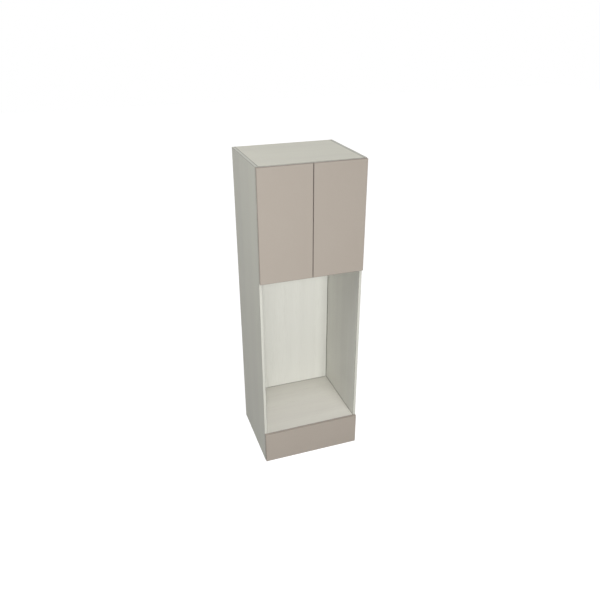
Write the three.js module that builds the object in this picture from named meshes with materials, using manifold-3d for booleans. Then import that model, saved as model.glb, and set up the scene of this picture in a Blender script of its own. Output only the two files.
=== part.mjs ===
// Tall oven housing unit: a melamine-faced carcass with an open appliance niche, a two-door
// cupboard above it on concealed four-bar hinges, and a shallow push-to-open drawer below it.
// Units are millimetres. +Z is up, the fronts face -Y, and the origin is on the floor in the
// middle of the footprint.
import * as THREE from "three";
import { mergeVertices } from "three/addons/utils/BufferGeometryUtils.js";
import Module from "manifold-3d";

const wasm = await Module();
wasm.setup();

// ---------------------------------------------------------------- driving dimensions

// Overall size and boards
const WIDTH = 600;
const HEIGHT = 1838;
const CARCASS_DEPTH = 486;
const BOARD = 16; // carcass panels
const FRONT_BOARD = 16; // doors and drawer front
const BACK_BOARD = 3;
const RAIL_BOARD = 16; // rails behind the back panel
const RAIL_HEIGHT = 100;

// Heights of the niche
const OVEN_SHELF_TOP = 201;
const NICHE_HEIGHT = 1009;

// Reveals round the fronts
const FRONT_GAP = 1.5; // between the carcass edges and the fronts
const SIDE_REVEAL = 1.5;
const CENTRE_REVEAL = 3;
const TOP_REVEAL = 2;
const FLOOR_REVEAL = 2;
const DRAWER_FRONT_LIP = 5; // drawer front above the oven shelf
const ARRIS = 0.75; // eased edge of the fronts

// Grooves that hold thin panels
const GROOVE_DEPTH = 8;
const GROOVE_END_PLAY = 1;
const GROOVE_SIDE_PLAY = 0.25;

// Running and drop-in clearance of every loose fit
const FIT = 0.3;

// How far a cutting tool passes the face that it cuts through
const OVERCUT = 1;

// Facets of round details
const PIN_SIDES = 10;
const EYE_SIDES = 12;

// Shelf and its row of holes
const SHELF_FRONT_SETBACK = 20;
const SHELF_REAR_PLAY = 4;
const SHELF_SIDE_PLAY = 1;
const HOLE_PITCH = 32;
const FRONT_HOLE_ROW_SETBACK = 37; // carcass edge to the front row
const REAR_HOLE_ROW_SETBACK = 46; // back panel to the rear row
const HOLE_COUNT = 5;
const HOLE_RADIUS = 2.5;
const HOLE_DEPTH = 12;
const FIRST_HOLE_ABOVE_FLOOR = 224;
const SHELF_HOLE = 2; // which hole of the row carries the shelf, counted from 0
const PIN_PLUG_LENGTH = 10;
const PIN_SEAT_LENGTH = 9;
const PIN_SEAT_WIDTH = 10;
const PIN_SEAT_HEIGHT = 8.5;

// Hinges
const HINGE_END_DISTANCE = 96; // door end to hinge centre
const CUP_RADIUS = 17.5;
const CUP_DEPTH = 11.5;
const CUP_WALL = 1;
const CUP_TAB = 3; // door edge to cup
const CUP_RIM = 1; // thickness of the rim and wings
const CUP_RIM_WIDTH = 1;
const CUP_SIDES = 24; // facets round the cup and its bore
const WING_OFFSET = 9.5; // screw line behind the cup centre
const WING_SPAN = 24;
const WING_RADIUS = 6;
const WING_SCREW_RADIUS = 2.25;
const WING_SIDES = 14;
const ARM_OUTER_PIVOT = [18.25, -10.25];
const ARM_INNER_PIVOT = [21.25, -3];
const CUP_OUTER_PIVOT_INSET = [5.5, 2.5]; // from the cup's side and from the door's inner face
const CUP_INNER_PIVOT_INSET = [7.5, 7.5];
const ARM_PIN_RADIUS = 1.5;
const CUP_PIN_RADIUS = 1.25;
const LINK_HALF_THICKNESS = 1.1;
const OUTER_LINK_HALF_WIDTH = 2.75;
const LUG_THICKNESS = 1.5;
const PLATE_LINK_THICKNESS = 1.5;
const ARM_WALL = 1.5;
const ARM_LENGTH = 66;
const ARM_NOSE_RADIUS = 3;
const ARM_HEEL_FRONT = 4; // the lower edge starts to drop this far before the plate's bar
const ARM_HEEL_REAR = 2; // and is down on the plate this far past the bar's front
const ARM_HEEL_RISE = 6;
const ARM_TAIL_SLOPE = 4;
const ARM_TAIL_ROUND = 3;
const ARM_WEB_FRONT = 2; // web past the outer pivot
const ARM_SCREW_RADIUS = 3;
const ARM_SCREW_STAND = 1;
const ARM_SCREW_SETBACK = 10; // rear of the plate's bar to the arm's screw
const SLOT_PLAY = 1.25; // open pivot: room for the inner link's pins in the cup
const SLOT_TRAVEL = [-0.35, -2.6];
const LUG_CORNER = 1;
const CHEEK_INSET = 2.5; // cup's side to the cheeks
const CHEEK_WALL = 1.5; // metal left round the slots

// Bends of the links, each from its nearer pivot
const OUTER_LINK_CUP_BENDS = [[4.5, 1.25], [7.25, 1.25], [9.5, 0.25]];
const OUTER_LINK_ARM_BENDS = [[-12.5, 12.75], [-9.5, 9.75]];
const INNER_LINK_CUP_BENDS = [[5.75, 1.25], [10.75, 1.25], [13.5, -0.5]];
const INNER_LINK_ARM_BENDS = [[-10.25, 9.5], [-7.25, 6.5]];
const LINK_STEPS = 8;

// Mounting plate of a hinge
const PLATE_SETBACK = 37;
const PLATE_WING_SPAN = 16;
const PLATE_WING_RADIUS = 6;
const PLATE_THICKNESS = 2.5;
const PLATE_BAR_HEIGHT = 14;
const PLATE_BAR_FRONT = 29;
const PLATE_BAR_REAR = 62;
const PLATE_BAR_CHAMFER = 3;
const PLATE_SCREW_RADIUS = 2.75;

// Drawer box and runners
const BOX_REAR_SPACE = 18.5; // box to back panel
const BOX_BOARD = 16;
const BOX_HEIGHT = 110;
const BOX_FLOOR_CLEARANCE = 18;
const BOX_BOTTOM_BOARD = 6;
const BOX_BOTTOM_RISE = 12;
const RUNNER_SPACE = 12.75;
const RUNNER_RISE = 46; // lower edge of the box to the runner's centre
const RUNNER_WALL = 1.25;
const RUNNER_HALF_HEIGHT = 22.5;
const RUNNER_LIP = 10;
const BALL_RADIUS = 1.45;
const CAGE_WALL = 0.75;
const CAGE_LENGTH = 200;
const BALL_PITCH = 60;
const BALL_SEGMENTS = 6;
const BALL_RINGS = 3;
const RUNNER_SCREW_RADIUS = 2.25;
const RUNNER_SCREW_END = 32.25; // runner end to its first screw

// Push latches
const LATCH_LENGTH = 76;
const LATCH_WIDTH = 20;
const LATCH_HEIGHT = 14;
const LATCH_SETBACK = 4; // carcass edge to the latch's nose
const LATCH_BORE_RADIUS = 4.5;
const LATCH_CHAMFER = 4;
const LATCH_END_WALL = 3;
const LATCH_PLUNGER_LENGTH = 64;
const PLUNGER_TIP_LENGTH = 4;
const PLUNGER_COLLAR_LENGTH = 5;
const PLUNGER_CHAMFER = 0.5;
const LATCH_EAR_SETBACK = 12; // rear of the latch to its screws
const LATCH_EAR_REACH = 8;
const LATCH_EAR_MARGIN = 1;
const LATCH_EAR_THICKNESS = 3;
const LATCH_SCREW_RADIUS = 1.75;
const LATCH_OFFSET = 40; // cabinet centre line to a door latch

// ---------------------------------------------------------------- derived places

const INNER_WIDTH = WIDTH - 2 * BOARD;
const HALF_INNER = INNER_WIDTH / 2;
const DEPTH = CARCASS_DEPTH + FRONT_GAP + FRONT_BOARD;
const REAR_Y = DEPTH / 2;
const EDGE_Y = REAR_Y - CARCASS_DEPTH; // front edges of the carcass boards
const FRONT_INNER_Y = EDGE_Y - FRONT_GAP; // inner faces of the doors and the drawer front
const BACK_REAR_Y = REAR_Y - RAIL_BOARD;
const BACK_FRONT_Y = BACK_REAR_Y - BACK_BOARD;
const TOP_UNDERSIDE = HEIGHT - BOARD;
const NICHE_TOP = OVEN_SHELF_TOP + NICHE_HEIGHT;
const CUPBOARD_FLOOR_TOP = NICHE_TOP + BOARD;
const DOOR_BOTTOM = NICHE_TOP;
const DOOR_TOP = HEIGHT - TOP_REVEAL;
const DOOR_WIDTH = (WIDTH - 2 * SIDE_REVEAL - CENTRE_REVEAL) / 2;
const GROOVE_REACH = GROOVE_DEPTH - GROOVE_END_PLAY;
const HINGE_HEIGHTS = {
  lower: DOOR_BOTTOM + HINGE_END_DISTANCE,
  upper: DOOR_TOP - HINGE_END_DISTANCE,
};
const FIRST_HOLE_Z = CUPBOARD_FLOOR_TOP + FIRST_HOLE_ABOVE_FLOOR;
const SHELF_PIN_Z = FIRST_HOLE_Z + SHELF_HOLE * HOLE_PITCH;
const SHELF_UNDERSIDE = SHELF_PIN_Z + HOLE_RADIUS;
const HOLE_ROWS_Y = [EDGE_Y + FRONT_HOLE_ROW_SETBACK, BACK_FRONT_Y - REAR_HOLE_ROW_SETBACK];

// Hinge places in plan. u runs from the side panel's inner face into the cabinet, v runs
// forward from the carcass edges, and w is the height above the hinge's centre.
const DOOR_EDGE_U = SIDE_REVEAL - BOARD;
const CUP_CENTRE_U = DOOR_EDGE_U + CUP_TAB + CUP_RADIUS;
const CUP_SIDE_U = CUP_CENTRE_U - CUP_RADIUS;
const CUP_FLOOR_V = FRONT_GAP + CUP_DEPTH - CUP_WALL;
const RIM_V = FRONT_GAP - CUP_RIM;
const CUP_OUTER_PIVOT = [CUP_SIDE_U + CUP_OUTER_PIVOT_INSET[0], FRONT_GAP + CUP_OUTER_PIVOT_INSET[1]];
const CUP_INNER_PIVOT = [CUP_SIDE_U + CUP_INNER_PIVOT_INSET[0], FRONT_GAP + CUP_INNER_PIVOT_INSET[1]];
const LUG_W = OUTER_LINK_HALF_WIDTH + FIT;
const LINK_PLATE_W = LUG_W + LUG_THICKNESS + FIT;
const CHEEK_W = LINK_PLATE_W + PLATE_LINK_THICKNESS + FIT;
const ARM_HALF_WIDTH = CHEEK_W + ARM_WALL;
const ARM_TOP_U = ARM_INNER_PIVOT[0] + ARM_NOSE_RADIUS;

// Drawer places
const BOX_BOTTOM_Z = BOARD + BOX_FLOOR_CLEARANCE;
const BOX_TOP_Z = BOX_BOTTOM_Z + BOX_HEIGHT;
const BOX_OUTER_X = HALF_INNER - RUNNER_SPACE;
const BOX_INNER_X = BOX_OUTER_X - BOX_BOARD;
const BOX_FRONT_Y = FRONT_INNER_Y;
const BOX_REAR_Y = BACK_FRONT_Y - BOX_REAR_SPACE;
const BOX_PANEL_Z = BOX_BOTTOM_Z + BOX_BOTTOM_RISE;
const RUNNER_Z = BOX_BOTTOM_Z + RUNNER_RISE;
const RUNNER_FRONT_Y = BOX_FRONT_Y + FRONT_GAP;
const RUNNER_LENGTH = BOX_REAR_Y - RUNNER_FRONT_Y;
const RUNNER_MIDDLE_Y = RUNNER_FRONT_Y + RUNNER_LENGTH / 2;

// Nested heights of the runner members: each gap holds a row of balls and its running play.
const BALL_GAP = 2 * (BALL_RADIUS + FIT);
const MIDDLE_HALF_HEIGHT = RUNNER_HALF_HEIGHT - RUNNER_WALL - BALL_GAP;
const SLIDE_HALF_HEIGHT = MIDDLE_HALF_HEIGHT - RUNNER_WALL - BALL_GAP;
const WEB_GAP = CAGE_WALL + 2 * FIT;
const MIDDLE_WEB = RUNNER_WALL + WEB_GAP;
const INNER_CAGE_WEB = MIDDLE_WEB + RUNNER_WALL + FIT;

// ---------------------------------------------------------------- materials

const melamine = new THREE.MeshStandardMaterial({ color: 0xc6c4b8, roughness: 0.55, metalness: 0 });
const frontFoil = new THREE.MeshStandardMaterial({ color: 0xb5aba1, roughness: 0.7, metalness: 0 });
const backFoil = new THREE.MeshStandardMaterial({ color: 0xd1d1c7, roughness: 0.6, metalness: 0 });
const zincSteel = new THREE.MeshStandardMaterial({ color: 0xb9bcc0, roughness: 0.35, metalness: 0.9 });
const nickelSteel = new THREE.MeshStandardMaterial({ color: 0xa9a59d, roughness: 0.3, metalness: 0.9 });
const greyPlastic = new THREE.MeshStandardMaterial({ color: 0x8f9190, roughness: 0.6, metalness: 0 });

// ---------------------------------------------------------------- solid helpers

// A closed geometry as a solid that can be joined and cut.
function toSolid(geometry) {
  const bare = geometry.clone();
  bare.deleteAttribute("normal");
  bare.deleteAttribute("uv");
  const merged = mergeVertices(bare, 1e-4);
  const vertProperties = Float32Array.from(merged.attributes.position.array);
  const triVerts = Uint32Array.from(merged.index.array);
  return new wasm.Manifold(new wasm.Mesh({ numProp: 3, vertProperties, triVerts }));
}

// A solid as a geometry again.
function toGeometry(solid) {
  const mesh = solid.getMesh();
  const geometry = new THREE.BufferGeometry();
  geometry.setAttribute("position", new THREE.BufferAttribute(mesh.vertProperties, 3));
  geometry.setIndex(new THREE.BufferAttribute(mesh.triVerts, 1));
  geometry.computeVertexNormals();
  return geometry;
}

// All geometries joined to one.
function join(geometries) {
  const solids = geometries.map(toSolid);
  return toGeometry(solids.reduce((whole, solid) => whole.add(solid)));
}

// A geometry with tools cut out of it.
function cut(geometry, tools) {
  const start = toSolid(geometry);
  return toGeometry(tools.map(toSolid).reduce((rest, tool) => rest.subtract(tool), start));
}

// A block between any two opposite corners.
function block(corner, opposite) {
  const size = corner.map((value, axis) => Math.abs(value - opposite[axis]));
  const geometry = new THREE.BoxGeometry(...size);
  geometry.translate(...corner.map((value, axis) => (value + opposite[axis]) / 2));
  return geometry;
}

// A round rod along one axis, centred on a point.
function rod(axis, radius, length, centre, sides = 16) {
  const geometry = new THREE.CylinderGeometry(radius, radius, length, sides);
  if (axis === "x") geometry.rotateZ(Math.PI / 2);
  if (axis === "z") geometry.rotateX(Math.PI / 2);
  geometry.translate(...centre);
  return geometry;
}

// A prism on an XY outline, from one height to another.
function prism(outline, bottom, top) {
  const shape = new THREE.Shape(outline);
  const geometry = new THREE.ExtrudeGeometry(shape, { depth: top - bottom, bevelEnabled: false });
  geometry.translate(0, 0, bottom);
  return geometry;
}

// A prism on an XZ outline, from one y to a larger one.
function lengthwisePrism(outline, front, rear) {
  const geometry = prism(outline, -rear, -front);
  geometry.rotateX(Math.PI / 2);
  return geometry;
}

// Points along an arc in a plane, from one angle in degrees to another.
function arc(centre, radius, from, to, steps) {
  const points = [];
  for (let i = 0; i <= steps; i += 1) {
    const angle = THREE.MathUtils.degToRad(from + ((to - from) * i) / steps);
    points.push([centre[0] + radius * Math.cos(angle), centre[1] + radius * Math.sin(angle)]);
  }
  return points;
}

// The outline of a round disc.
function disc(centre, radius) {
  return arc(centre, radius, 0, 360 - 360 / PIN_SIDES, PIN_SIDES - 1);
}

// A named mesh whose own origin is the middle of its geometry.
function piece(name, geometry, material) {
  geometry.computeBoundingBox();
  const middle = geometry.boundingBox.getCenter(new THREE.Vector3());
  geometry.translate(-middle.x, -middle.y, -middle.z);
  const mesh = new THREE.Mesh(geometry, material);
  mesh.name = name;
  mesh.position.copy(middle);
  return mesh;
}

function assembly(name, pieces) {
  const group = new THREE.Group();
  group.name = name;
  group.add(...pieces);
  return group;
}

// ---------------------------------------------------------------- carcass

// The groove for the back panel, cut down the inner face of a side panel.
function uprightGroove(side) {
  return block(
    [side * HALF_INNER, BACK_FRONT_Y - GROOVE_SIDE_PLAY, -OVERCUT],
    [side * (HALF_INNER + GROOVE_DEPTH), BACK_REAR_Y + GROOVE_SIDE_PLAY, HEIGHT + OVERCUT],
  );
}

// The rows of blind holes for shelf pins.
function shelfHoles(side) {
  const holes = [];
  for (const y of HOLE_ROWS_Y) {
    for (let i = 0; i < HOLE_COUNT; i += 1) {
      const centre = [side * HALF_INNER, y, FIRST_HOLE_Z + i * HOLE_PITCH];
      holes.push(rod("x", HOLE_RADIUS, 2 * HOLE_DEPTH, centre, PIN_SIDES));
    }
  }
  return holes;
}

function sidePanel(name, side) {
  const board = block([side * HALF_INNER, EDGE_Y, 0], [(side * WIDTH) / 2, REAR_Y, HEIGHT]);
  return piece(name, cut(board, [uprightGroove(side), ...shelfHoles(side)]), melamine);
}

// A full-depth end board with the back panel's groove in the face at z = grooveZ.
function endBoard(name, bottom, grooveZ) {
  const board = block([-HALF_INNER, EDGE_Y, bottom], [HALF_INNER, REAR_Y, bottom + BOARD]);
  const groove = block(
    [-HALF_INNER - OVERCUT, BACK_FRONT_Y - GROOVE_SIDE_PLAY, grooveZ],
    [HALF_INNER + OVERCUT, BACK_REAR_Y + GROOVE_SIDE_PLAY, grooveZ + GROOVE_DEPTH],
  );
  return piece(name, cut(board, [groove]), melamine);
}

// A fixed board in front of the back panel.
function middleBoard(name, bottom) {
  const low = [-HALF_INNER, EDGE_Y, bottom];
  const high = [HALF_INNER, BACK_FRONT_Y, bottom + BOARD];
  return piece(name, block(low, high), melamine);
}

function backPanel() {
  const reach = HALF_INNER + GROOVE_REACH;
  const low = [-reach, BACK_FRONT_Y, BOARD - GROOVE_REACH];
  const high = [reach, BACK_REAR_Y, TOP_UNDERSIDE + GROOVE_REACH];
  return piece("back_panel", block(low, high), backFoil);
}

function rearRail(name, bottom) {
  const low = [-HALF_INNER, BACK_REAR_Y, bottom];
  const high = [HALF_INNER, REAR_Y, bottom + RAIL_HEIGHT];
  return piece(name, block(low, high), melamine);
}

function carcass() {
  return assembly("carcass", [
    sidePanel("left_side_panel", -1),
    sidePanel("right_side_panel", 1),
    endBoard("base_panel", 0, BOARD - GROOVE_DEPTH),
    endBoard("top_panel", TOP_UNDERSIDE, TOP_UNDERSIDE),
    middleBoard("oven_shelf", OVEN_SHELF_TOP - BOARD),
    middleBoard("cupboard_floor", NICHE_TOP),
    backPanel(),
    rearRail("rear_low_rail", BOARD),
    rearRail("rear_mid_rail", NICHE_TOP + (BOARD - RAIL_HEIGHT) / 2),
    rearRail("rear_top_rail", TOP_UNDERSIDE - RAIL_HEIGHT),
  ]);
}

// ---------------------------------------------------------------- adjustable shelf

// A shelf pin: a round plug in the side panel and a wedge-shaped seat under the shelf.
function shelfPin(name, side, y) {
  const faceX = side * HALF_INNER;
  const plugLength = PIN_PLUG_LENGTH + PIN_SEAT_LENGTH / 2;
  const plugX = faceX + side * (PIN_PLUG_LENGTH - plugLength / 2);
  const seatTop = SHELF_UNDERSIDE;
  const seatBottom = seatTop - PIN_SEAT_HEIGHT;
  const inward = (distance) => faceX - side * distance;
  const outline = [
    new THREE.Vector2(inward(0), seatTop),
    new THREE.Vector2(inward(PIN_SEAT_LENGTH), seatTop),
    new THREE.Vector2(inward(PIN_SEAT_LENGTH), seatTop - HOLE_RADIUS),
    new THREE.Vector2(inward(HOLE_RADIUS), seatBottom),
    new THREE.Vector2(inward(0), seatBottom),
  ];
  const seat = lengthwisePrism(outline, y - PIN_SEAT_WIDTH / 2, y + PIN_SEAT_WIDTH / 2);
  const plug = rod("x", HOLE_RADIUS - FIT, plugLength, [plugX, y, SHELF_PIN_Z], PIN_SIDES);
  return piece(name, join([seat, plug]), nickelSteel);
}

function adjustableShelf() {
  const halfWidth = HALF_INNER - SHELF_SIDE_PLAY;
  const low = [-halfWidth, EDGE_Y + SHELF_FRONT_SETBACK, SHELF_UNDERSIDE];
  const high = [halfWidth, BACK_FRONT_Y - SHELF_REAR_PLAY, SHELF_UNDERSIDE + BOARD];
  return piece("adjustable_shelf", block(low, high), melamine);
}

function shelfSet() {
  const pins = [];
  for (const [sideName, side] of [["left", -1], ["right", 1]]) {
    pins.push(shelfPin(`${sideName}_front_shelf_pin`, side, HOLE_ROWS_Y[0]));
    pins.push(shelfPin(`${sideName}_rear_shelf_pin`, side, HOLE_ROWS_Y[1]));
  }
  return assembly("shelf_set", [adjustableShelf(), ...pins]);
}

// ---------------------------------------------------------------- hinges

// Hinge pieces are drawn in plan (u, v) and stand on the side named by hand: 1 for the left
// panel and -1, mirrored, for the right one.
function planOutline(hand, points) {
  return points.map(([u, v]) => new THREE.Vector2(hand * u, -v));
}

function planPlate(hand, points, bottom, top) {
  return prism(planOutline(hand, points), bottom, top);
}

function planRod(hand, radius, centre, bottom, top, sides = EYE_SIDES) {
  const middle = [hand * centre[0], -centre[1], (bottom + top) / 2];
  return rod("z", radius, top - bottom, middle, sides);
}

// The same plate above and below the hinge's centre.
function platePair(hand, points, near, far) {
  return [planPlate(hand, points, near, far), planPlate(hand, points, -far, -near)];
}

// The outline of a bent strip that follows a smooth curve through its points.
function stripOutline(points, halfThickness) {
  const curve = new THREE.SplineCurve(points.map(([u, v]) => new THREE.Vector2(u, v)));
  const near = [];
  const far = [];
  for (let i = 0; i <= LINK_STEPS; i += 1) {
    const at = curve.getPointAt(i / LINK_STEPS);
    const along = curve.getTangentAt(i / LINK_STEPS);
    near.push([at.x - along.y * halfThickness, at.y + along.x * halfThickness]);
    far.unshift([at.x + along.y * halfThickness, at.y - along.x * halfThickness]);
  }
  return [...near, ...far];
}

function shifted(point, [du, dv]) {
  return [point[0] + du, point[1] + dv];
}

// The middle line of a link: from its cup pivot through its bends to its arm pivot.
function linkRoute(cupPivot, cupBends, armBends, armPivot) {
  return [
    cupPivot,
    ...cupBends.map((bend) => shifted(cupPivot, bend)),
    ...armBends.map((bend) => shifted(armPivot, bend)),
    armPivot,
  ];
}

// Outer link: one wide bent plate. It arches forward near the cup, so that at full swing it
// passes over the rim of the cup and the edge of the door.
function outerLink(name, hand) {
  const route = linkRoute(
    CUP_OUTER_PIVOT, OUTER_LINK_CUP_BENDS, OUTER_LINK_ARM_BENDS, ARM_OUTER_PIVOT);
  const w = OUTER_LINK_HALF_WIDTH;
  const armEye = ARM_PIN_RADIUS + FIT;
  const cupEye = CUP_PIN_RADIUS + FIT;
  const plate = planPlate(hand, stripOutline(route, LINK_HALF_THICKNESS), -w, w);
  const eyes = [
    planRod(hand, armEye + LINK_HALF_THICKNESS, ARM_OUTER_PIVOT, -w, w),
    planRod(hand, cupEye + LINK_HALF_THICKNESS, CUP_OUTER_PIVOT, -w, w),
  ];
  const bores = [
    planRod(hand, armEye, ARM_OUTER_PIVOT, -w - OVERCUT, w + OVERCUT),
    planRod(hand, cupEye, CUP_OUTER_PIVOT, -w - OVERCUT, w + OVERCUT),
  ];
  return piece(name, cut(join([plate, ...eyes]), bores), nickelSteel);
}

// Inner link: two bent side plates on a common arm pin, with a stub pin each at the cup end.
function innerLink(name, hand) {
  const route = linkRoute(
    CUP_INNER_PIVOT, INNER_LINK_CUP_BENDS, INNER_LINK_ARM_BENDS, ARM_INNER_PIVOT);
  const near = LINK_PLATE_W;
  const far = LINK_PLATE_W + PLATE_LINK_THICKNESS;
  const pinEnd = ARM_HALF_WIDTH;
  const stubEnd = CHEEK_W + LUG_THICKNESS;
  const strip = stripOutline(route, LINK_HALF_THICKNESS);
  const armDisc = disc(ARM_INNER_PIVOT, ARM_PIN_RADIUS + LINK_HALF_THICKNESS);
  const cupDisc = disc(CUP_INNER_PIVOT, CUP_PIN_RADIUS + LINK_HALF_THICKNESS);
  return piece(name, join([
    ...platePair(hand, strip, near, far),
    ...platePair(hand, armDisc, near, far),
    ...platePair(hand, cupDisc, near, far),
    planRod(hand, ARM_PIN_RADIUS, ARM_INNER_PIVOT, -pinEnd, pinEnd, PIN_SIDES),
    planRod(hand, CUP_PIN_RADIUS, CUP_INNER_PIVOT, near, stubEnd, PIN_SIDES),
    planRod(hand, CUP_PIN_RADIUS, CUP_INNER_PIVOT, -stubEnd, -near, PIN_SIDES),
  ]), nickelSteel);
}

// Side outline of the arm: a rounded nose round both pivots, and a low tail on the plate.
function armOutline() {
  const low = PLATE_THICKNESS + FIT;
  const raised = low + ARM_HEEL_RISE;
  return [
    ...arc(ARM_INNER_PIVOT, ARM_NOSE_RADIUS, 0, 160, 6),
    ...arc(ARM_OUTER_PIVOT, ARM_NOSE_RADIUS, 160, 225, 3),
    [raised, ARM_HEEL_FRONT - PLATE_BAR_FRONT],
    [low, -PLATE_BAR_FRONT - ARM_HEEL_REAR],
    [low, ARM_TAIL_SLOPE - ARM_LENGTH],
    [raised, -ARM_LENGTH],
    [ARM_TOP_U - ARM_TAIL_ROUND, -ARM_LENGTH],
    [ARM_TOP_U, ARM_TAIL_ROUND - ARM_LENGTH],
  ];
}

// Arm: a channel over the mounting plate's bar, with the outer link's pin across its nose.
function hingeArm(name, hand) {
  const webFront = ARM_OUTER_PIVOT[1] + ARM_WEB_FRONT;
  const webRear = ARM_TAIL_ROUND - ARM_LENGTH;
  const webLow = ARM_TOP_U - ARM_WALL;
  const web = [[webLow, webRear], [ARM_TOP_U, webRear], [ARM_TOP_U, webFront], [webLow, webFront]];
  const flanges = platePair(hand, armOutline(), CHEEK_W, ARM_HALF_WIDTH);
  const screwTop = ARM_TOP_U + ARM_SCREW_STAND;
  const screwLow = PLATE_BAR_HEIGHT + FIT;
  const screwMiddle = [hand * (screwLow + screwTop) / 2, PLATE_BAR_REAR - ARM_SCREW_SETBACK, 0];
  const body = join([
    ...flanges,
    planPlate(hand, web, -ARM_HALF_WIDTH, ARM_HALF_WIDTH),
    planRod(hand, ARM_PIN_RADIUS, ARM_OUTER_PIVOT, -ARM_HALF_WIDTH, ARM_HALF_WIDTH, PIN_SIDES),
    rod("x", ARM_SCREW_RADIUS, screwTop - screwLow, screwMiddle, PIN_SIDES),
  ]);
  const boreEnd = ARM_HALF_WIDTH + OVERCUT;
  const bore = planRod(hand, ARM_PIN_RADIUS + FIT, ARM_INNER_PIVOT, -boreEnd, boreEnd);
  return piece(name, cut(body, [bore]), nickelSteel);
}

// Mounting plate: a cross of two screw wings and the raised bar that the arm slides over.
function mountingPlate(name, hand) {
  const v = -PLATE_SETBACK;
  const r = PLATE_WING_RADIUS;
  const barHalf = CHEEK_W - FIT;
  const wingMiddle = hand * (PLATE_THICKNESS / 2);
  const wing = [
    rod("x", r, PLATE_THICKNESS, [wingMiddle, -v, PLATE_WING_SPAN], EYE_SIDES),
    rod("x", r, PLATE_THICKNESS, [wingMiddle, -v, -PLATE_WING_SPAN], EYE_SIDES),
    planPlate(hand, [[0, v - r], [PLATE_THICKNESS, v - r], [PLATE_THICKNESS, v + r], [0, v + r]],
      -PLATE_WING_SPAN, PLATE_WING_SPAN),
  ];
  const top = PLATE_BAR_HEIGHT;
  const bar = planPlate(hand, [
    [0, -PLATE_BAR_REAR],
    [top - PLATE_BAR_CHAMFER, -PLATE_BAR_REAR],
    [top, -PLATE_BAR_REAR + PLATE_BAR_CHAMFER],
    [top, -PLATE_BAR_FRONT - PLATE_BAR_CHAMFER],
    [top - PLATE_BAR_CHAMFER, -PLATE_BAR_FRONT],
    [0, -PLATE_BAR_FRONT],
  ], -barHalf, barHalf);
  const holes = [-PLATE_WING_SPAN, PLATE_WING_SPAN].map(
    (w) => rod("x", PLATE_SCREW_RADIUS, PLATE_THICKNESS + 2 * OVERCUT, [wingMiddle, -v, w], PIN_SIDES),
  );
  return piece(name, cut(join([...wing, bar]), holes), nickelSteel);
}

// The cup's shell: a turned bowl with a rim, on an axis along v.
function cupBowl(hand) {
  const inner = CUP_RADIUS - CUP_WALL;
  const rimRadius = CUP_RADIUS + CUP_RIM_WIDTH;
  const depth = CUP_DEPTH;
  const profile = [
    [0, depth - CUP_WALL],
    [inner, depth - CUP_WALL],
    [inner, -CUP_RIM],
    [rimRadius, -CUP_RIM],
    [rimRadius, 0],
    [CUP_RADIUS, 0],
    [CUP_RADIUS, depth],
    [0, depth],
  ].reverse();
  const bowl = new THREE.LatheGeometry(profile.map(([r, v]) => new THREE.Vector2(r, -v)), CUP_SIDES);
  bowl.translate(hand * CUP_CENTRE_U, -FRONT_GAP, 0);
  return bowl;
}

// The screw wings of the cup, with the mouth left open.
function cupWings(hand) {
  const wingU = CUP_CENTRE_U + WING_OFFSET;
  const plateV = FRONT_GAP - CUP_RIM / 2;
  const through = CUP_RIM + 2 * OVERCUT;
  const mouthMiddle = [hand * CUP_CENTRE_U, -plateV, 0];
  const round = (w) => rod("y", WING_RADIUS, CUP_RIM, [hand * wingU, -plateV, w], WING_SIDES);
  const strap = block(
    [hand * (wingU - WING_RADIUS), -FRONT_GAP, -WING_SPAN],
    [hand * (wingU + WING_RADIUS), -RIM_V, WING_SPAN],
  );
  const mouth = rod("y", CUP_RADIUS - CUP_WALL, through, mouthMiddle, CUP_SIDES);
  const screw = (w) => rod("y", WING_SCREW_RADIUS, through, [hand * wingU, -plateV, w], PIN_SIDES);
  const plate = join([round(-WING_SPAN), round(WING_SPAN), strap]);
  return cut(plate, [mouth, screw(-WING_SPAN), screw(WING_SPAN)]);
}

// Lugs on either side of the outer link that hold its pin.
function cupLugs(hand) {
  const [u, v] = CUP_OUTER_PIVOT;
  const reach = CUP_PIN_RADIUS + LINK_HALF_THICKNESS;
  const outline = [
    [CUP_SIDE_U + CUP_WALL / 2, CUP_FLOOR_V + CUP_WALL / 2],
    [CUP_SIDE_U + CUP_WALL / 2, v - LUG_CORNER],
    [u - LUG_CORNER, v - reach],
    ...arc([u, v], reach, -90, 0, 3),
    [u + reach, CUP_FLOOR_V + CUP_WALL / 2],
  ];
  const pinEnd = LUG_W + LUG_THICKNESS;
  return [
    ...platePair(hand, outline, LUG_W, pinEnd),
    planRod(hand, CUP_PIN_RADIUS, CUP_OUTER_PIVOT, -pinEnd, pinEnd, PIN_SIDES),
  ];
}

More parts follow.
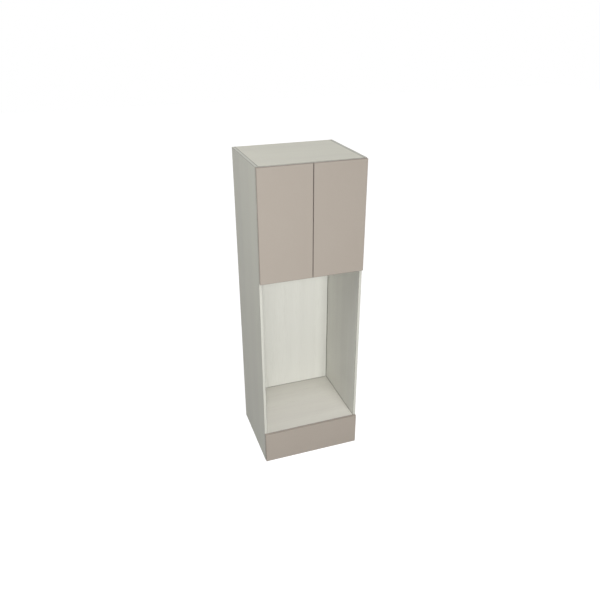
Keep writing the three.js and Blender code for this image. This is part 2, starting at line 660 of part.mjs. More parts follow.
// Cheeks with the slots that the inner link's stub pins run in.
function cupCheeks(hand) {
  const u = CUP_INNER_PIVOT[0];
  const slotRadius = CUP_PIN_RADIUS + SLOT_PLAY;
  const start = shifted(CUP_INNER_PIVOT, [SLOT_TRAVEL[0], 0]);
  const end = shifted(start, SLOT_TRAVEL);
  const floorV = CUP_FLOOR_V + CUP_WALL / 2;
  const shoulderV = end[1] - slotRadius;
  const nearU = CUP_SIDE_U + CHEEK_INSET;
  const farU = u + slotRadius + CHEEK_WALL;
  const outline = [
    [nearU, floorV],
    [nearU, shoulderV],
    [nearU + CHEEK_WALL, shoulderV - CHEEK_WALL],
    [farU - CHEEK_WALL, shoulderV - CHEEK_WALL],
    [farU, shoulderV],
    [farU, floorV],
  ];
  const slot = [...arc(start, slotRadius, 0, 180, 5), ...arc(end, slotRadius, 180, 360, 5)];
  const top = CHEEK_W + LUG_THICKNESS;
  const cheeks = platePair(hand, outline, CHEEK_W, top);
  const slots = platePair(hand, slot, CHEEK_W - OVERCUT, top + OVERCUT);
  return cheeks.map((cheek, i) => cut(cheek, [slots[i]]));
}

function hingeCup(name, hand) {
  const pieces = [cupBowl(hand), cupWings(hand), ...cupLugs(hand), ...cupCheeks(hand)];
  return piece(name, join(pieces), nickelSteel);
}

// One hinge, at a height on the inner face of a side panel.
function hinge(sideName, levelName, hand, height) {
  const prefix = `${sideName}_${levelName}_hinge`;
  const group = assembly(prefix, [
    mountingPlate(`${prefix}_plate`, hand),
    hingeArm(`${prefix}_arm`, hand),
    hingeCup(`${prefix}_cup`, hand),
    outerLink(`${prefix}_outer_link`, hand),
    innerLink(`${prefix}_inner_link`, hand),
  ]);
  group.position.set(-hand * HALF_INNER, EDGE_Y, height);
  return group;
}

function hinges() {
  const all = [];
  for (const [sideName, hand] of [["left", 1], ["right", -1]]) {
    for (const [levelName, height] of Object.entries(HINGE_HEIGHTS)) {
      all.push(hinge(sideName, levelName, hand, height));
    }
  }
  return assembly("hinges", all);
}

// ---------------------------------------------------------------- fronts

// A slab front with eased edges.
function slab(left, right, bottom, top) {
  const outline = new THREE.Shape([
    new THREE.Vector2(left + ARRIS, bottom + ARRIS),
    new THREE.Vector2(right - ARRIS, bottom + ARRIS),
    new THREE.Vector2(right - ARRIS, top - ARRIS),
    new THREE.Vector2(left + ARRIS, top - ARRIS),
  ]);
  const geometry = new THREE.ExtrudeGeometry(outline, {
    depth: FRONT_BOARD - 2 * ARRIS,
    bevelThickness: ARRIS,
    bevelSize: ARRIS,
    bevelSegments: 2,
  });
  geometry.rotateX(Math.PI / 2);
  geometry.translate(0, FRONT_INNER_Y - ARRIS, 0);
  return geometry;
}

function door(name, side) {
  const middleX = (side * (CENTRE_REVEAL + DOOR_WIDTH)) / 2;
  const left = middleX - DOOR_WIDTH / 2;
  const cupX = side * (HALF_INNER - CUP_CENTRE_U);
  const bores = Object.values(HINGE_HEIGHTS).map(
    (z) => rod("y", CUP_RADIUS + FIT, 2 * (CUP_DEPTH + FIT), [cupX, FRONT_INNER_Y, z], CUP_SIDES),
  );
  return piece(name, cut(slab(left, left + DOOR_WIDTH, DOOR_BOTTOM, DOOR_TOP), bores), frontFoil);
}

function drawerFront() {
  const half = WIDTH / 2 - SIDE_REVEAL;
  const top = OVEN_SHELF_TOP + DRAWER_FRONT_LIP;
  return piece("drawer_front", slab(-half, half, FLOOR_REVEAL, top), frontFoil);
}

// ---------------------------------------------------------------- drawer box

const BOX_GROOVE_LOW = BOX_PANEL_Z - GROOVE_SIDE_PLAY;
const BOX_GROOVE_HIGH = BOX_PANEL_Z + BOX_BOTTOM_BOARD + GROOVE_SIDE_PLAY;

// A box wall with the bottom panel's groove in its inner face.
function boxSide(name, side) {
  const innerX = side * BOX_INNER_X;
  const wall = block(
    [innerX, BOX_FRONT_Y, BOX_BOTTOM_Z],
    [side * BOX_OUTER_X, BOX_REAR_Y, BOX_TOP_Z],
  );
  const groove = block(
    [innerX, BOX_FRONT_Y - OVERCUT, BOX_GROOVE_LOW],
    [innerX + side * GROOVE_DEPTH, BOX_REAR_Y + OVERCUT, BOX_GROOVE_HIGH],
  );
  return piece(name, cut(wall, [groove]), melamine);
}

// The cross walls: innerY is the face towards the inside of the box.
function boxCrossWall(name, innerY, outward) {
  const wall = block(
    [-BOX_INNER_X, innerY, BOX_BOTTOM_Z],
    [BOX_INNER_X, innerY + outward * BOX_BOARD, BOX_TOP_Z],
  );
  const groove = block(
    [-BOX_INNER_X - OVERCUT, innerY, BOX_GROOVE_LOW],
    [BOX_INNER_X + OVERCUT, innerY + outward * GROOVE_DEPTH, BOX_GROOVE_HIGH],
  );
  return piece(name, cut(wall, [groove]), melamine);
}

function boxBottom() {
  const reachX = BOX_INNER_X + GROOVE_REACH;
  const frontY = BOX_FRONT_Y + BOX_BOARD - GROOVE_REACH;
  const rearY = BOX_REAR_Y - BOX_BOARD + GROOVE_REACH;
  const low = [-reachX, frontY, BOX_PANEL_Z];
  const high = [reachX, rearY, BOX_PANEL_Z + BOX_BOTTOM_BOARD];
  return piece("drawer_bottom", block(low, high), backFoil);
}

function drawer() {
  return assembly("drawer", [
    drawerFront(),
    boxSide("drawer_left_side", -1),
    boxSide("drawer_right_side", 1),
    boxCrossWall("drawer_inner_front", BOX_FRONT_Y + BOX_BOARD, -1),
    boxCrossWall("drawer_back", BOX_REAR_Y - BOX_BOARD, 1),
    boxBottom(),
  ]);
}

// ---------------------------------------------------------------- ball runners

// A channel outline: its web stands at web, and its flanges reach to tip. Either may be the
// larger, so the channel opens towards the drawer or towards the carcass.
function channelOutline(side, web, tip, halfHeight, wall) {
  const outward = Math.sign(tip - web);
  const radius = 2 * wall;
  const corner = [web + outward * radius, halfHeight - radius];
  const from = outward > 0 ? 180 : 0;
  const bend = (r) => arc(corner, r, from, 90, 2);
  const upper = [
    ...bend(radius),
    [tip, halfHeight],
    [tip, halfHeight - wall],
    ...bend(radius - wall).reverse(),
  ];
  const lower = upper.map(([s, z]) => [s, -z]).reverse();
  return [...upper, ...lower].map(
    ([s, z]) => new THREE.Vector2(side * (HALF_INNER - s), RUNNER_Z + z),
  );
}

// Screw holes through a runner's web, near its ends and in its middle.
function screwHoles(side, webS) {
  const reach = RUNNER_LENGTH / 2 - RUNNER_SCREW_END;
  const through = RUNNER_WALL + 2 * OVERCUT;
  const x = side * (HALF_INNER - webS);
  return [-reach, 0, reach].map((offset) =>
    rod("x", RUNNER_SCREW_RADIUS, through, [x, RUNNER_MIDDLE_Y + offset, RUNNER_Z], EYE_SIDES));
}

function runnerMember(name, side, outline, holes) {
  const bar = lengthwisePrism(outline, RUNNER_FRONT_Y, BOX_REAR_Y);
  return piece(name, holes.length ? cut(bar, holes) : bar, zincSteel);
}

// A ball cage: a thin channel between two members, with a row of balls in each flange.
function ballCage(name, side, web, tip, ballHeight) {
  const flangeTop = ballHeight + CAGE_WALL / 2;
  const outline = channelOutline(side, web, tip, flangeTop, CAGE_WALL);
  const front = RUNNER_MIDDLE_Y - CAGE_LENGTH / 2;
  const channel = lengthwisePrism(outline, front, front + CAGE_LENGTH);
  const ballX = side * (HALF_INNER - (web + tip + CAGE_WALL) / 2);
  const count = Math.floor((CAGE_LENGTH - 2 * BALL_RADIUS) / BALL_PITCH);
  const balls = [];
  for (let i = 0; i <= count; i += 1) {
    const y = RUNNER_MIDDLE_Y + (i - count / 2) * BALL_PITCH;
    for (const z of [RUNNER_Z - ballHeight, RUNNER_Z + ballHeight]) {
      const ball = new THREE.SphereGeometry(BALL_RADIUS, BALL_SEGMENTS, BALL_RINGS);
      ball.rotateX(Math.PI / 2);
      ball.translate(ballX, y, z);
      balls.push(ball);
    }
  }
  return piece(name, join([channel, ...balls]), nickelSteel);
}

function runner(sideName, side) {
  const prefix = `${sideName}_runner`;
  const cabinet = channelOutline(side, 0, RUNNER_LIP, RUNNER_HALF_HEIGHT, RUNNER_WALL);
  const middleTip = RUNNER_LIP + FIT;
  const middle = channelOutline(side, MIDDLE_WEB, middleTip, MIDDLE_HALF_HEIGHT, RUNNER_WALL);
  const slideTip = INNER_CAGE_WEB + CAGE_WALL + FIT;
  const slide = channelOutline(side, RUNNER_SPACE, slideTip, SLIDE_HALF_HEIGHT, RUNNER_WALL);
  const outerBalls = MIDDLE_HALF_HEIGHT + BALL_GAP / 2;
  const innerBalls = SLIDE_HALF_HEIGHT + BALL_GAP / 2;
  const cageWeb = RUNNER_WALL + FIT;
  return assembly(prefix, [
    runnerMember(`${prefix}_cabinet_member`, side, cabinet, screwHoles(side, RUNNER_WALL / 2)),
    ballCage(`${prefix}_outer_cage`, side, cageWeb, RUNNER_LIP - FIT, outerBalls),
    runnerMember(`${prefix}_middle_member`, side, middle, []),
    ballCage(`${prefix}_inner_cage`, side, INNER_CAGE_WEB, RUNNER_LIP, innerBalls),
    runnerMember(`${prefix}_drawer_member`, side, slide,
      screwHoles(side, RUNNER_SPACE - RUNNER_WALL / 2)),
  ]);
}

// ---------------------------------------------------------------- push latches

// The latch stands on z = 0 and its nose is at y = 0, with the bore open at the nose.
function latchHousing(name) {
  const halfWidth = LATCH_WIDTH / 2;
  const shoulder = LATCH_HEIGHT - LATCH_CHAMFER;
  const section = [
    new THREE.Vector2(-halfWidth, 0),
    new THREE.Vector2(halfWidth, 0),
    new THREE.Vector2(halfWidth, shoulder),
    new THREE.Vector2(halfWidth - LATCH_CHAMFER, LATCH_HEIGHT),
    new THREE.Vector2(LATCH_CHAMFER - halfWidth, LATCH_HEIGHT),
    new THREE.Vector2(-halfWidth, shoulder),
  ];
  const earY = LATCH_LENGTH - LATCH_EAR_SETBACK;
  const earX = halfWidth + LATCH_EAR_REACH / 2;
  const earRadius = LATCH_EAR_REACH / 2 + LATCH_EAR_MARGIN;
  const earMiddle = LATCH_EAR_THICKNESS / 2;
  const ear = (x) => rod("z", earRadius, LATCH_EAR_THICKNESS, [x, earY, earMiddle], PIN_SIDES);
  const through = LATCH_EAR_THICKNESS + 2 * OVERCUT;
  const hole = (x) => rod("z", LATCH_SCREW_RADIUS, through, [x, earY, earMiddle], PIN_SIDES);
  const body = lengthwisePrism(section, 0, LATCH_LENGTH);
  const boreEnd = LATCH_LENGTH - LATCH_END_WALL;
  const boreMiddle = [0, (boreEnd - OVERCUT) / 2, LATCH_HEIGHT / 2];
  const bore = rod("y", LATCH_BORE_RADIUS, boreEnd + OVERCUT, boreMiddle, EYE_SIDES);
  const housing = cut(join([body, ear(-earX), ear(earX)]), [bore, hole(-earX), hole(earX)]);
  return piece(name, housing, greyPlastic);
}

// The plunger: a shaft with a rear guide collar and a wider magnet tip, just off the front.
function latchPlunger(name) {
  const shaft = LATCH_BORE_RADIUS - 2 * FIT;
  const collar = LATCH_BORE_RADIUS - FIT;
  const tipY = -(LATCH_SETBACK + FRONT_GAP - FIT);
  const rearY = tipY + LATCH_PLUNGER_LENGTH;
  const profile = [
    [0, tipY],
    [collar - PLUNGER_CHAMFER, tipY],
    [collar, tipY + PLUNGER_CHAMFER],
    [collar, tipY + PLUNGER_TIP_LENGTH - PLUNGER_CHAMFER],
    [shaft, tipY + PLUNGER_TIP_LENGTH],
    [shaft, rearY - PLUNGER_COLLAR_LENGTH],
    [collar, rearY - PLUNGER_COLLAR_LENGTH + PLUNGER_CHAMFER],
    [collar, rearY],
    [0, rearY],
  ];
  const points = profile.map(([r, y]) => new THREE.Vector2(r, y));
  const geometry = new THREE.LatheGeometry(points, EYE_SIDES);
  geometry.translate(0, 0, LATCH_HEIGHT / 2);
  return piece(name, geometry, greyPlastic);
}

// A latch on a board: it stands on the base, or hangs turned over under the top panel.
function latch(prefix, x, boardZ, hangs) {
  const group = assembly(prefix, [
    latchHousing(`${prefix}_housing`),
    latchPlunger(`${prefix}_plunger`),
  ]);
  group.position.set(x, EDGE_Y + LATCH_SETBACK, boardZ);
  group.rotation.y = hangs ? Math.PI : 0;
  return group;
}

function latches() {
  return assembly("latches", [
    latch("left_door_latch", -LATCH_OFFSET, TOP_UNDERSIDE, true),
    latch("right_door_latch", LATCH_OFFSET, TOP_UNDERSIDE, true),
    latch("drawer_latch", 0, BOARD, false),
  ]);
}

// ---------------------------------------------------------------- whole unit

const ovenHousing = assembly("oven_housing", [
  carcass(),
  shelfSet(),
  hinges(),
  door("left_door", -1),
  door("right_door", 1),
  drawer(),
  runner("left", -1),
  runner("right", 1),
  latches(),
]);

export default ovenHousing;
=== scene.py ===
"""The looks of a tall oven housing unit, dressed on its fixed frame.

The unit is a melamine-faced carcass with an open appliance niche. Two taupe slab doors hang above
the niche on concealed four-bar hinges, and a shallow drawer runs below it. The frame and the boards
are in metres. Outlines, and the classes that say so, are in millimetres.
"""

import logging
import math
from collections.abc import Callable, Iterable, Iterator
from contextlib import contextmanager
from dataclasses import KW_ONLY, dataclass
from enum import Enum
from functools import cache

import bmesh
import bpy
from bpy.types import Node, NodeSocket, NodeTree, Object
from mathutils import Matrix, Vector


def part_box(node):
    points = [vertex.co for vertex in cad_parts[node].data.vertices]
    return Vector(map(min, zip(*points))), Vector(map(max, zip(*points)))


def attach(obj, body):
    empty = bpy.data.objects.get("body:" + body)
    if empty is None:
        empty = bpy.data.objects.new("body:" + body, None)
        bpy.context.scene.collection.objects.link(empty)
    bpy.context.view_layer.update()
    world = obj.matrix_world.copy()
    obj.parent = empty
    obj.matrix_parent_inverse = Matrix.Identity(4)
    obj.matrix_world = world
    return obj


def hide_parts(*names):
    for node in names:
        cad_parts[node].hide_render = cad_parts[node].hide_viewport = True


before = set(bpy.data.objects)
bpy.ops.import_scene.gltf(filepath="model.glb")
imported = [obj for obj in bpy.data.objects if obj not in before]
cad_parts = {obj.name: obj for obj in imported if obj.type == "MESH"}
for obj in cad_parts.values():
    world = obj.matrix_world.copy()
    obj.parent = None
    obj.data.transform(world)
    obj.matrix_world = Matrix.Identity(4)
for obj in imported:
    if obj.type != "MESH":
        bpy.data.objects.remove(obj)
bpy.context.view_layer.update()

log = logging.getLogger("oven_housing")

MM = 0.001
SPARE = 1.0  # millimetres by which a tool stands out of what it cuts
MERGE_REACH = 1e-6  # metres between points that are merged
PICTURE_SIDE = 600  # pixels

Point = tuple[float, float, float]
Flat = tuple[float, float]
Rgba = tuple[float, float, float, float]
Tone = tuple[int, int, int]  # a colour as screen values from 0 to 255
Place = Callable[[float, float, float], Point]


# ---------------------------------------------------------------- named choices


class Facing(Enum):
    """The way that a face of a board looks."""

    LEFT = (-1, 0, 0)
    RIGHT = (1, 0, 0)
    FRONT = (0, -1, 0)
    REAR = (0, 1, 0)
    DOWN = (0, 0, -1)
    UP = (0, 0, 1)

    @property
    def axis(self) -> int:
        """The axis that it looks along."""
        return next(i for i, part in enumerate(self.value) if part)

    @property
    def sign(self) -> int:
        """One where it looks up its axis, and minus one where it looks down."""
        return sum(self.value)

    def plane(self, low: Vector, high: Vector) -> float:
        """Where a box between two corners ends that way, on its axis."""
        return (high if self.sign > 0 else low)[self.axis]


ACROSS_SIDES = (Facing.LEFT, Facing.RIGHT)
DEPTH_SIDES = (Facing.FRONT, Facing.REAR)
LEVEL_SIDES = (Facing.UP, Facing.DOWN)


class Grain(Enum):
    """The axis that a printed or drawn figure runs along."""

    ACROSS = 0
    DEPTH = 1
    UPRIGHT = 2

    def stretch(self, scale: float) -> Point:
        """A scale for a figure that changes slowly along this axis."""
        return tuple(scale if axis == self.value else 1.0 for axis in range(3))


class Side(Enum):
    """A side of the unit, as the sign of x."""

    LEFT = -1
    RIGHT = 1

    @property
    def word(self) -> str:
        """The side's name as node names have it."""
        return self.name.lower()

    @property
    def inward(self) -> Facing:
        """The way from this side into the unit."""
        return Facing.RIGHT if self is Side.LEFT else Facing.LEFT


# ---------------------------------------------------------------- bench work


def deselect_all() -> None:
    """Leaves object mode with nothing selected."""
    if bpy.context.mode != "OBJECT":
        bpy.ops.object.mode_set(mode="OBJECT")
    bpy.ops.object.select_all(action="DESELECT")


def activate(piece: Object) -> None:
    """Makes one piece the only selected one and the active one.

    Args:
        piece: the piece to work on.
    """
    deselect_all()
    piece.select_set(True)
    bpy.context.view_layer.objects.active = piece


@contextmanager
def editing(piece: Object) -> Iterator[None]:
    """Edit mode on one piece, entered with nothing selected.

    Args:
        piece: the mesh object to edit.

    Returns:
        Nothing of use, as the mesh is read by the functions that edit it.
    """
    activate(piece)
    bpy.ops.object.mode_set(mode="EDIT")
    bpy.ops.mesh.select_all(action="DESELECT")
    yield
    bpy.ops.object.mode_set(mode="OBJECT")


def pick(piece: Object, kind: str, test: Callable[..., bool]) -> None:
    """Selects the faces or edges of a piece in edit mode that pass a test, and nothing else.

    Args:
        piece: the piece in edit mode.
        kind: faces or edges.
        test: says whether a face or an edge is wanted.
    """
    bpy.ops.mesh.select_all(action="DESELECT")
    bpy.ops.mesh.select_mode(type=kind.removesuffix("s").upper())
    for part in getattr(bmesh.from_edit_mesh(piece.data), kind):
        part.select_set(test(part))
    bmesh.update_edit_mesh(piece.data)


def mend() -> None:
    """Merges the doubles of the mesh under edit and turns its faces outward."""
    bpy.ops.mesh.select_all(action="SELECT")
    bpy.ops.mesh.remove_doubles(threshold=MERGE_REACH)
    bpy.ops.mesh.normals_make_consistent(inside=False)


def settle(piece: Object) -> Object:
    """Moves a piece's place from the object into the mesh.

    Args:
        piece: the piece to settle.

    Returns:
        The same piece, at the origin, unturned and unscaled.
    """
    activate(piece)
    bpy.ops.object.transform_apply(location=True, rotation=True, scale=True)
    return piece


def block(low: Iterable[float], high: Iterable[float]) -> Object:
    """A block between two corners.

    Args:
        low: the lowest corner.
        high: the highest corner.

    Returns:
        The block.
    """
    low, high = tuple(low), tuple(high)
    size = tuple(b - a for a, b in zip(low, high, strict=True))
    middle = tuple((a + b) / 2 for a, b in zip(low, high, strict=True))
    deselect_all()
    bpy.ops.mesh.primitive_cube_add(size=1.0, location=middle, scale=size)
    return settle(bpy.context.active_object)


TURN_TO_AXIS: dict[str, Point] = {"x": (0.0, math.pi / 2, 0.0), "y": (math.pi / 2, 0.0, 0.0)}


def rod(axis: str, radius: float, length: float, middle: Point, sides: int = 32) -> Object:
    """A round rod along one axis.

    Args:
        axis: x or y.
        radius: the rod's radius.
        length: the rod's length.
        middle: the rod's middle point.
        sides: facets round the rod.

    Returns:
        The rod.
    """
    deselect_all()
    bpy.ops.mesh.primitive_cylinder_add(
        vertices=sides, radius=radius, depth=length, location=middle, rotation=TURN_TO_AXIS[axis]
    )
    return settle(bpy.context.active_object)


def joined(parts: list[Object]) -> Object:
    """Several pieces as one object.

    Args:
        parts: the pieces, at least one.

    Returns:
        The one object.
    """
    activate(parts[0])
    for part in parts:
        part.select_set(True)
    if len(parts) > 1:
        bpy.ops.object.join()
    return settle(bpy.context.active_object)


def combine(piece: Object, tool: Object, how: str = "DIFFERENCE", overlaps: bool = False) -> None:
    """Cuts a tool out of a piece or joins it on, and throws the tool away.

    Args:
        piece: the solid to change.
        tool: the other solid.
        how: DIFFERENCE or UNION.
        overlaps: whether parts of the tool overlap each other.
    """
    activate(piece)
    change = piece.modifiers.new("change", "BOOLEAN")
    change.operation = how
    change.solver = "EXACT"
    change.use_self = overlaps
    change.object = tool
    bpy.ops.object.modifier_apply(modifier=change.name)
    bpy.data.objects.remove(tool)


def ride(piece: Object, name: str, body: str, slot: str, *nodes: str) -> None:
    """Names a finished piece, fixes it to the body that carries it, and reports it.

    Args:
        piece: the finished piece, in its place at rest.
        name: its name.
        body: the body it moves with.
        slot: the name of its finish's material slot, which is not used.
        nodes: the frame's nodes that it replaces.
    """
    piece.name = piece.data.name = name
    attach(piece, body)
    if nodes:
        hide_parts(*nodes)
    log.info("%s rides on %s", piece.name, body)


def stand_in(piece: Object, node: str, kind: str, body: str, slot: str) -> None:
    """Mounts a piece in place of a node, or under that name where the frame has no such node.

    Args:
        piece: the finished piece, in its place at rest.
        node: the node's name, or the piece's own.
        kind: the word that the name of a piece in a node's place ends with.
        body: the body it moves with.
        slot: the name of its finish's material slot.
    """
    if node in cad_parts:
        ride(piece, f"{node}_{kind}", body, slot, node)
    else:
        ride(piece, node, body, slot)


def discard(pieces: Iterable[Object]) -> None:
    """Throws away the patterns that others were copied from."""
    for piece in pieces:
        bpy.data.objects.remove(piece)


def middle_of(node: str) -> Vector:
    """The middle of a node's box."""
    return sum(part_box(node), Vector()) / 2


# ---------------------------------------------------------------- curves drawn in millimetres

RING_SIDES = 32
PIN_SIDES = 28
STRIP_STEPS = 24


def arc(centre: Flat, radius: float, start: float, end: float, steps: int) -> list[Flat]:
    """Points along an arc, from one angle in degrees to another."""
    turns = (math.radians(start + (end - start) * i / steps) for i in range(steps + 1))
    return [(centre[0] + radius * math.cos(a), centre[1] + radius * math.sin(a)) for a in turns]


def ring(centre: Flat, radius: float, sides: int = RING_SIDES) -> list[Flat]:
    """The outline of a round disc."""
    return arc(centre, radius, 0, 360 - 360 / sides, sides - 1)


def oblong(first: Flat, last: Flat, radius: float, start: float, steps: int) -> list[Flat]:
    """The outline of a slot: half a turn round one place from an angle, then half round another."""
    half = start + 180
    return arc(first, radius, start, half, steps) + arc(last, radius, half, half + 180, steps)


def strip(points: list[Flat], half: float) -> list[Flat]:
    """The outline of a bent strip that follows a smooth curve through its points.

    Args:
        points: the places that the strip passes through.
        half: half the strip's width.

    Returns:
        The outline's corners in order.
    """
    ends = [points[0], *points, points[-1]]
    near, far = [], []
    for i in range(STRIP_STEPS + 1):
        reach = i / STRIP_STEPS * (len(points) - 1)
        span = min(int(reach), len(points) - 2)
        t = reach - span
        a, b, c, d = (Vector(p) for p in ends[span : span + 4])
        first, last = (c - a) / 2, (d - b) / 2
        cube, square = 2 * b - 2 * c + first + last, -3 * b + 3 * c - 2 * first - last
        place = ((cube * t + square) * t + first) * t + b
        ahead = (3 * cube * t + 2 * square) * t + first
        across = Vector((-ahead.y, ahead.x)).normalized() * half
        near.append(tuple(place + across))
        far.insert(0, tuple(place - across))
    return near + far


def moved(point: Flat, shifts: Iterable[Flat]) -> list[Flat]:
    """Several places, each a shift away from one point."""
    return [(point[0] + du, point[1] + dv) for du, dv in shifts]


# ---------------------------------------------------------------- solids on an outline

SHARP = 0.6  # the least turn of a sharp edge, in radians


def ease_edges(piece: Object, ease: float) -> None:
    """Rounds a piece's sharp edges by a width in millimetres.

    Args:
        piece: the piece to ease.
        ease: how wide an edge is rounded.
    """
    with editing(piece):
        pick(piece, "edges", lambda edge: edge.calc_face_angle(0.0) > SHARP)
        bpy.ops.mesh.bevel(offset=ease * MM, segments=2, affect="EDGES", clamp_overlap=True)


def prism(outline: list[Flat], low: float, high: float, place: Place, ease: float = 0.0) -> Object:
    """A straight-sided solid on an outline.

    Args:
        outline: the outline's corners in millimetres.
        low: where the solid starts, square to the outline, in millimetres.
        high: where it ends.
        place: turns millimetres on and off the outline's plane into a place in the frame.
        ease: how wide its sharp edges are rounded, in millimetres.

    Returns:
        The solid.
    """
    deselect_all()
    bpy.ops.mesh.primitive_circle_add(vertices=len(outline), fill_type="NGON")
    piece = bpy.context.active_object
    for vertex, (a, b) in zip(piece.data.vertices, outline, strict=True):
        vertex.co = place(a, b, low)
    rise = Vector(place(0, 0, high)) - Vector(place(0, 0, low))
    with editing(piece):
        bpy.ops.mesh.select_all(action="SELECT")
        bpy.ops.mesh.extrude_region_move(TRANSFORM_OT_translate={"value": rise})
        bpy.ops.mesh.select_all(action="SELECT")
        bpy.ops.mesh.normals_make_consistent(inside=False)
    if ease:
        ease_edges(piece, ease)
    return settle(piece)


def turned(profile: list[Flat], centre: Point, along: Point, steps: int = 48) -> Object:
    """A solid turned round an axis.

    Args:
        profile: radius and reach along the axis in millimetres, from the axis back to the axis.
        centre: where the axis starts, in the frame.
        along: the axis's direction.
        steps: facets round the axis.

    Returns:
        The solid.
    """
    ahead = Vector(along).normalized()
    out = Vector((1, 0, 0)) if abs(ahead.z) > 0.5 else Vector((0, 0, 1))
    deselect_all()
    bpy.ops.mesh.primitive_circle_add(vertices=len(profile), fill_type="NOTHING")
    piece = bpy.context.active_object
    for vertex, (radius, reach) in zip(piece.data.vertices, profile, strict=True):
        vertex.co = Vector(centre) + (out * radius + ahead * reach) * MM
    ends = {0, len(profile) - 1}
    with editing(piece):
        pick(piece, "edges", lambda edge: {v.index for v in edge.verts} == ends)
        bpy.ops.mesh.delete(type="EDGE")
        bpy.ops.mesh.select_mode(type="VERT")
        bpy.ops.mesh.select_all(action="SELECT")
        bpy.ops.mesh.spin(steps=steps, angle=2 * math.pi, center=centre, axis=ahead)
        mend()
    return settle(piece)


def fused(parts: Iterable[Object]) -> Object:
    """Overlapping solids as one solid.

    Args:
        parts: the solids, the first of which takes in the others.

    Returns:
        The one solid.
    """
    whole, *others = parts
    for other in others:
        combine(whole, other, "UNION")
    return settle(whole)


def copied(piece: Object, shift: Point = (0, 0, 0), mirror: bool = False) -> Object:
    """A copy of a piece with its own mesh.

    Args:
        piece: the piece to copy.
        shift: how far the copy stands from the piece.
        mirror: whether it is mirrored to the other side of the unit.

    Returns:
        The copy.
    """
    activate(piece)
    bpy.ops.object.duplicate()
    twin = bpy.context.active_object
    twin.location = shift
    settle(twin)
    if mirror:
        twin.scale.x = -1
        settle(twin)
        with editing(twin):
            mend()
    return twin


def dressed(piece: Object, finish: "Finish") -> Object:
    """Gives a whole piece one finish, and shades it smooth across shallow angles.

    Args:
        piece: the piece to finish.
        finish: its finish.

    Returns:
        The same piece.
    """
    piece.data.materials.clear()
    piece.data.materials.append(finish.material())
    activate(piece)
    bpy.ops.object.shade_smooth_by_angle(angle=SHARP)
    return piece


# ---------------------------------------------------------------- shader graphs


class Graph:
    """Adds and joins the nodes of one shader tree."""

    def __init__(self, tree: NodeTree) -> None:
        """Takes the tree that the nodes go into."""
        self.tree = tree

    @classmethod
    def of(cls, owner: bpy.types.Material | bpy.types.World) -> "Graph":
        """The graph of a material or a world, emptied.

        Args:
            owner: the new material or world.

        Returns:
            The graph.
        """
        owner.use_nodes = True
        owner.node_tree.nodes.clear()
        return cls(owner.node_tree)

    def add(self, kind: str, inputs: dict[str | int, object] | None = None, **settings: object) -> Node:
        """Adds a node.

        Args:
            kind: Blender's name for the node type.
            inputs: sockets by name or number, each with a constant or the socket that feeds it.
            settings: the node's own options.

        Returns:
            The node.
        """
        node = self.tree.nodes.new(kind)
        for name, value in settings.items():
            setattr(node, name, value)
        for key, value in (inputs or {}).items():
            self.feed(node.inputs[key], value)
        return node

    def feed(self, socket: NodeSocket, value: object) -> None:
        """Gives a socket a constant, or joins it to another socket.

        Args:
            socket: the socket to feed.
            value: a constant, or the socket to take it from.
        """
        if isinstance(value, NodeSocket):
            self.tree.links.new(value, socket)
        else:
            socket.default_value = value

    def noise(self, vector: object, scale: object, detail: float = 2.0) -> NodeSocket:
        """Smooth noise about 0.5 at a scale in cycles a metre."""
        inputs = {"Vector": vector, "Scale": scale, "Detail": detail, "Roughness": 0.55}
        return self.add("ShaderNodeTexNoise", inputs).outputs[0]

    def window(self, value: object, low: float, high: float) -> NodeSocket:
        """Spreads the part of a value between low and high over 0 to 1."""
        inputs = {"Value": value, "From Min": low, "From Max": high}
        return self.add("ShaderNodeMapRange", inputs, clamp=True).outputs[0]

    def maths(self, operation: str, *numbers: object) -> NodeSocket:
        """One operation on two or three numbers or the sockets that give them."""
        return self.add("ShaderNodeMath", dict(enumerate(numbers)), operation=operation).outputs[0]

    def mix(self, share: object, first: object, second: object) -> NodeSocket:
        """Two colours mixed.

        Args:
            share: how much of the second, from 0 to 1.
            first: a colour or the socket that gives it.
            second: a colour or the socket that gives it.

        Returns:
            The socket of the mixed colour.
        """
        node = self.add("ShaderNodeMix", data_type="RGBA")
        sockets = {socket.identifier: socket for socket in node.inputs}
        for name, value in (("Factor_Float", share), ("A_Color", first), ("B_Color", second)):
            self.feed(sockets[name], value)
        return next(socket for socket in node.outputs if socket.identifier == "Result_Color")

    def place(self, scale: Point = (1.0, 1.0, 1.0)) -> NodeSocket:
        """The place on the piece in metres, stretched by a scale."""
        where = self.add("ShaderNodeTexCoord").outputs["Object"]
        return self.add("ShaderNodeMapping", {"Vector": where, "Scale": scale}).outputs["Vector"]

    def group(self, tree: NodeTree, inputs: dict[str, object]) -> Node:
        """A node group with its own values."""
        return self.add("ShaderNodeGroup", inputs, node_tree=tree)

    def seen_straight(self) -> NodeSocket:
        """One for rays from the camera, off a mirror or through glass, and otherwise zero.

        Returns:
            The socket that gives the number.
        """
        path = self.add("ShaderNodeLightPath").outputs
        mirrored = self.maths("MAXIMUM", path["Is Glossy Ray"], path["Is Transmission Ray"])
        return self.maths("MAXIMUM", path["Is Camera Ray"], mirrored)


NUMBER, COLOUR, VECTOR = "NodeSocketFloat", "NodeSocketColor", "NodeSocketVector"
WHITE: Rgba = (1.0, 1.0, 1.0, 1.0)
DUST: Rgba = (0.6, 0.58, 0.54, 1.0)


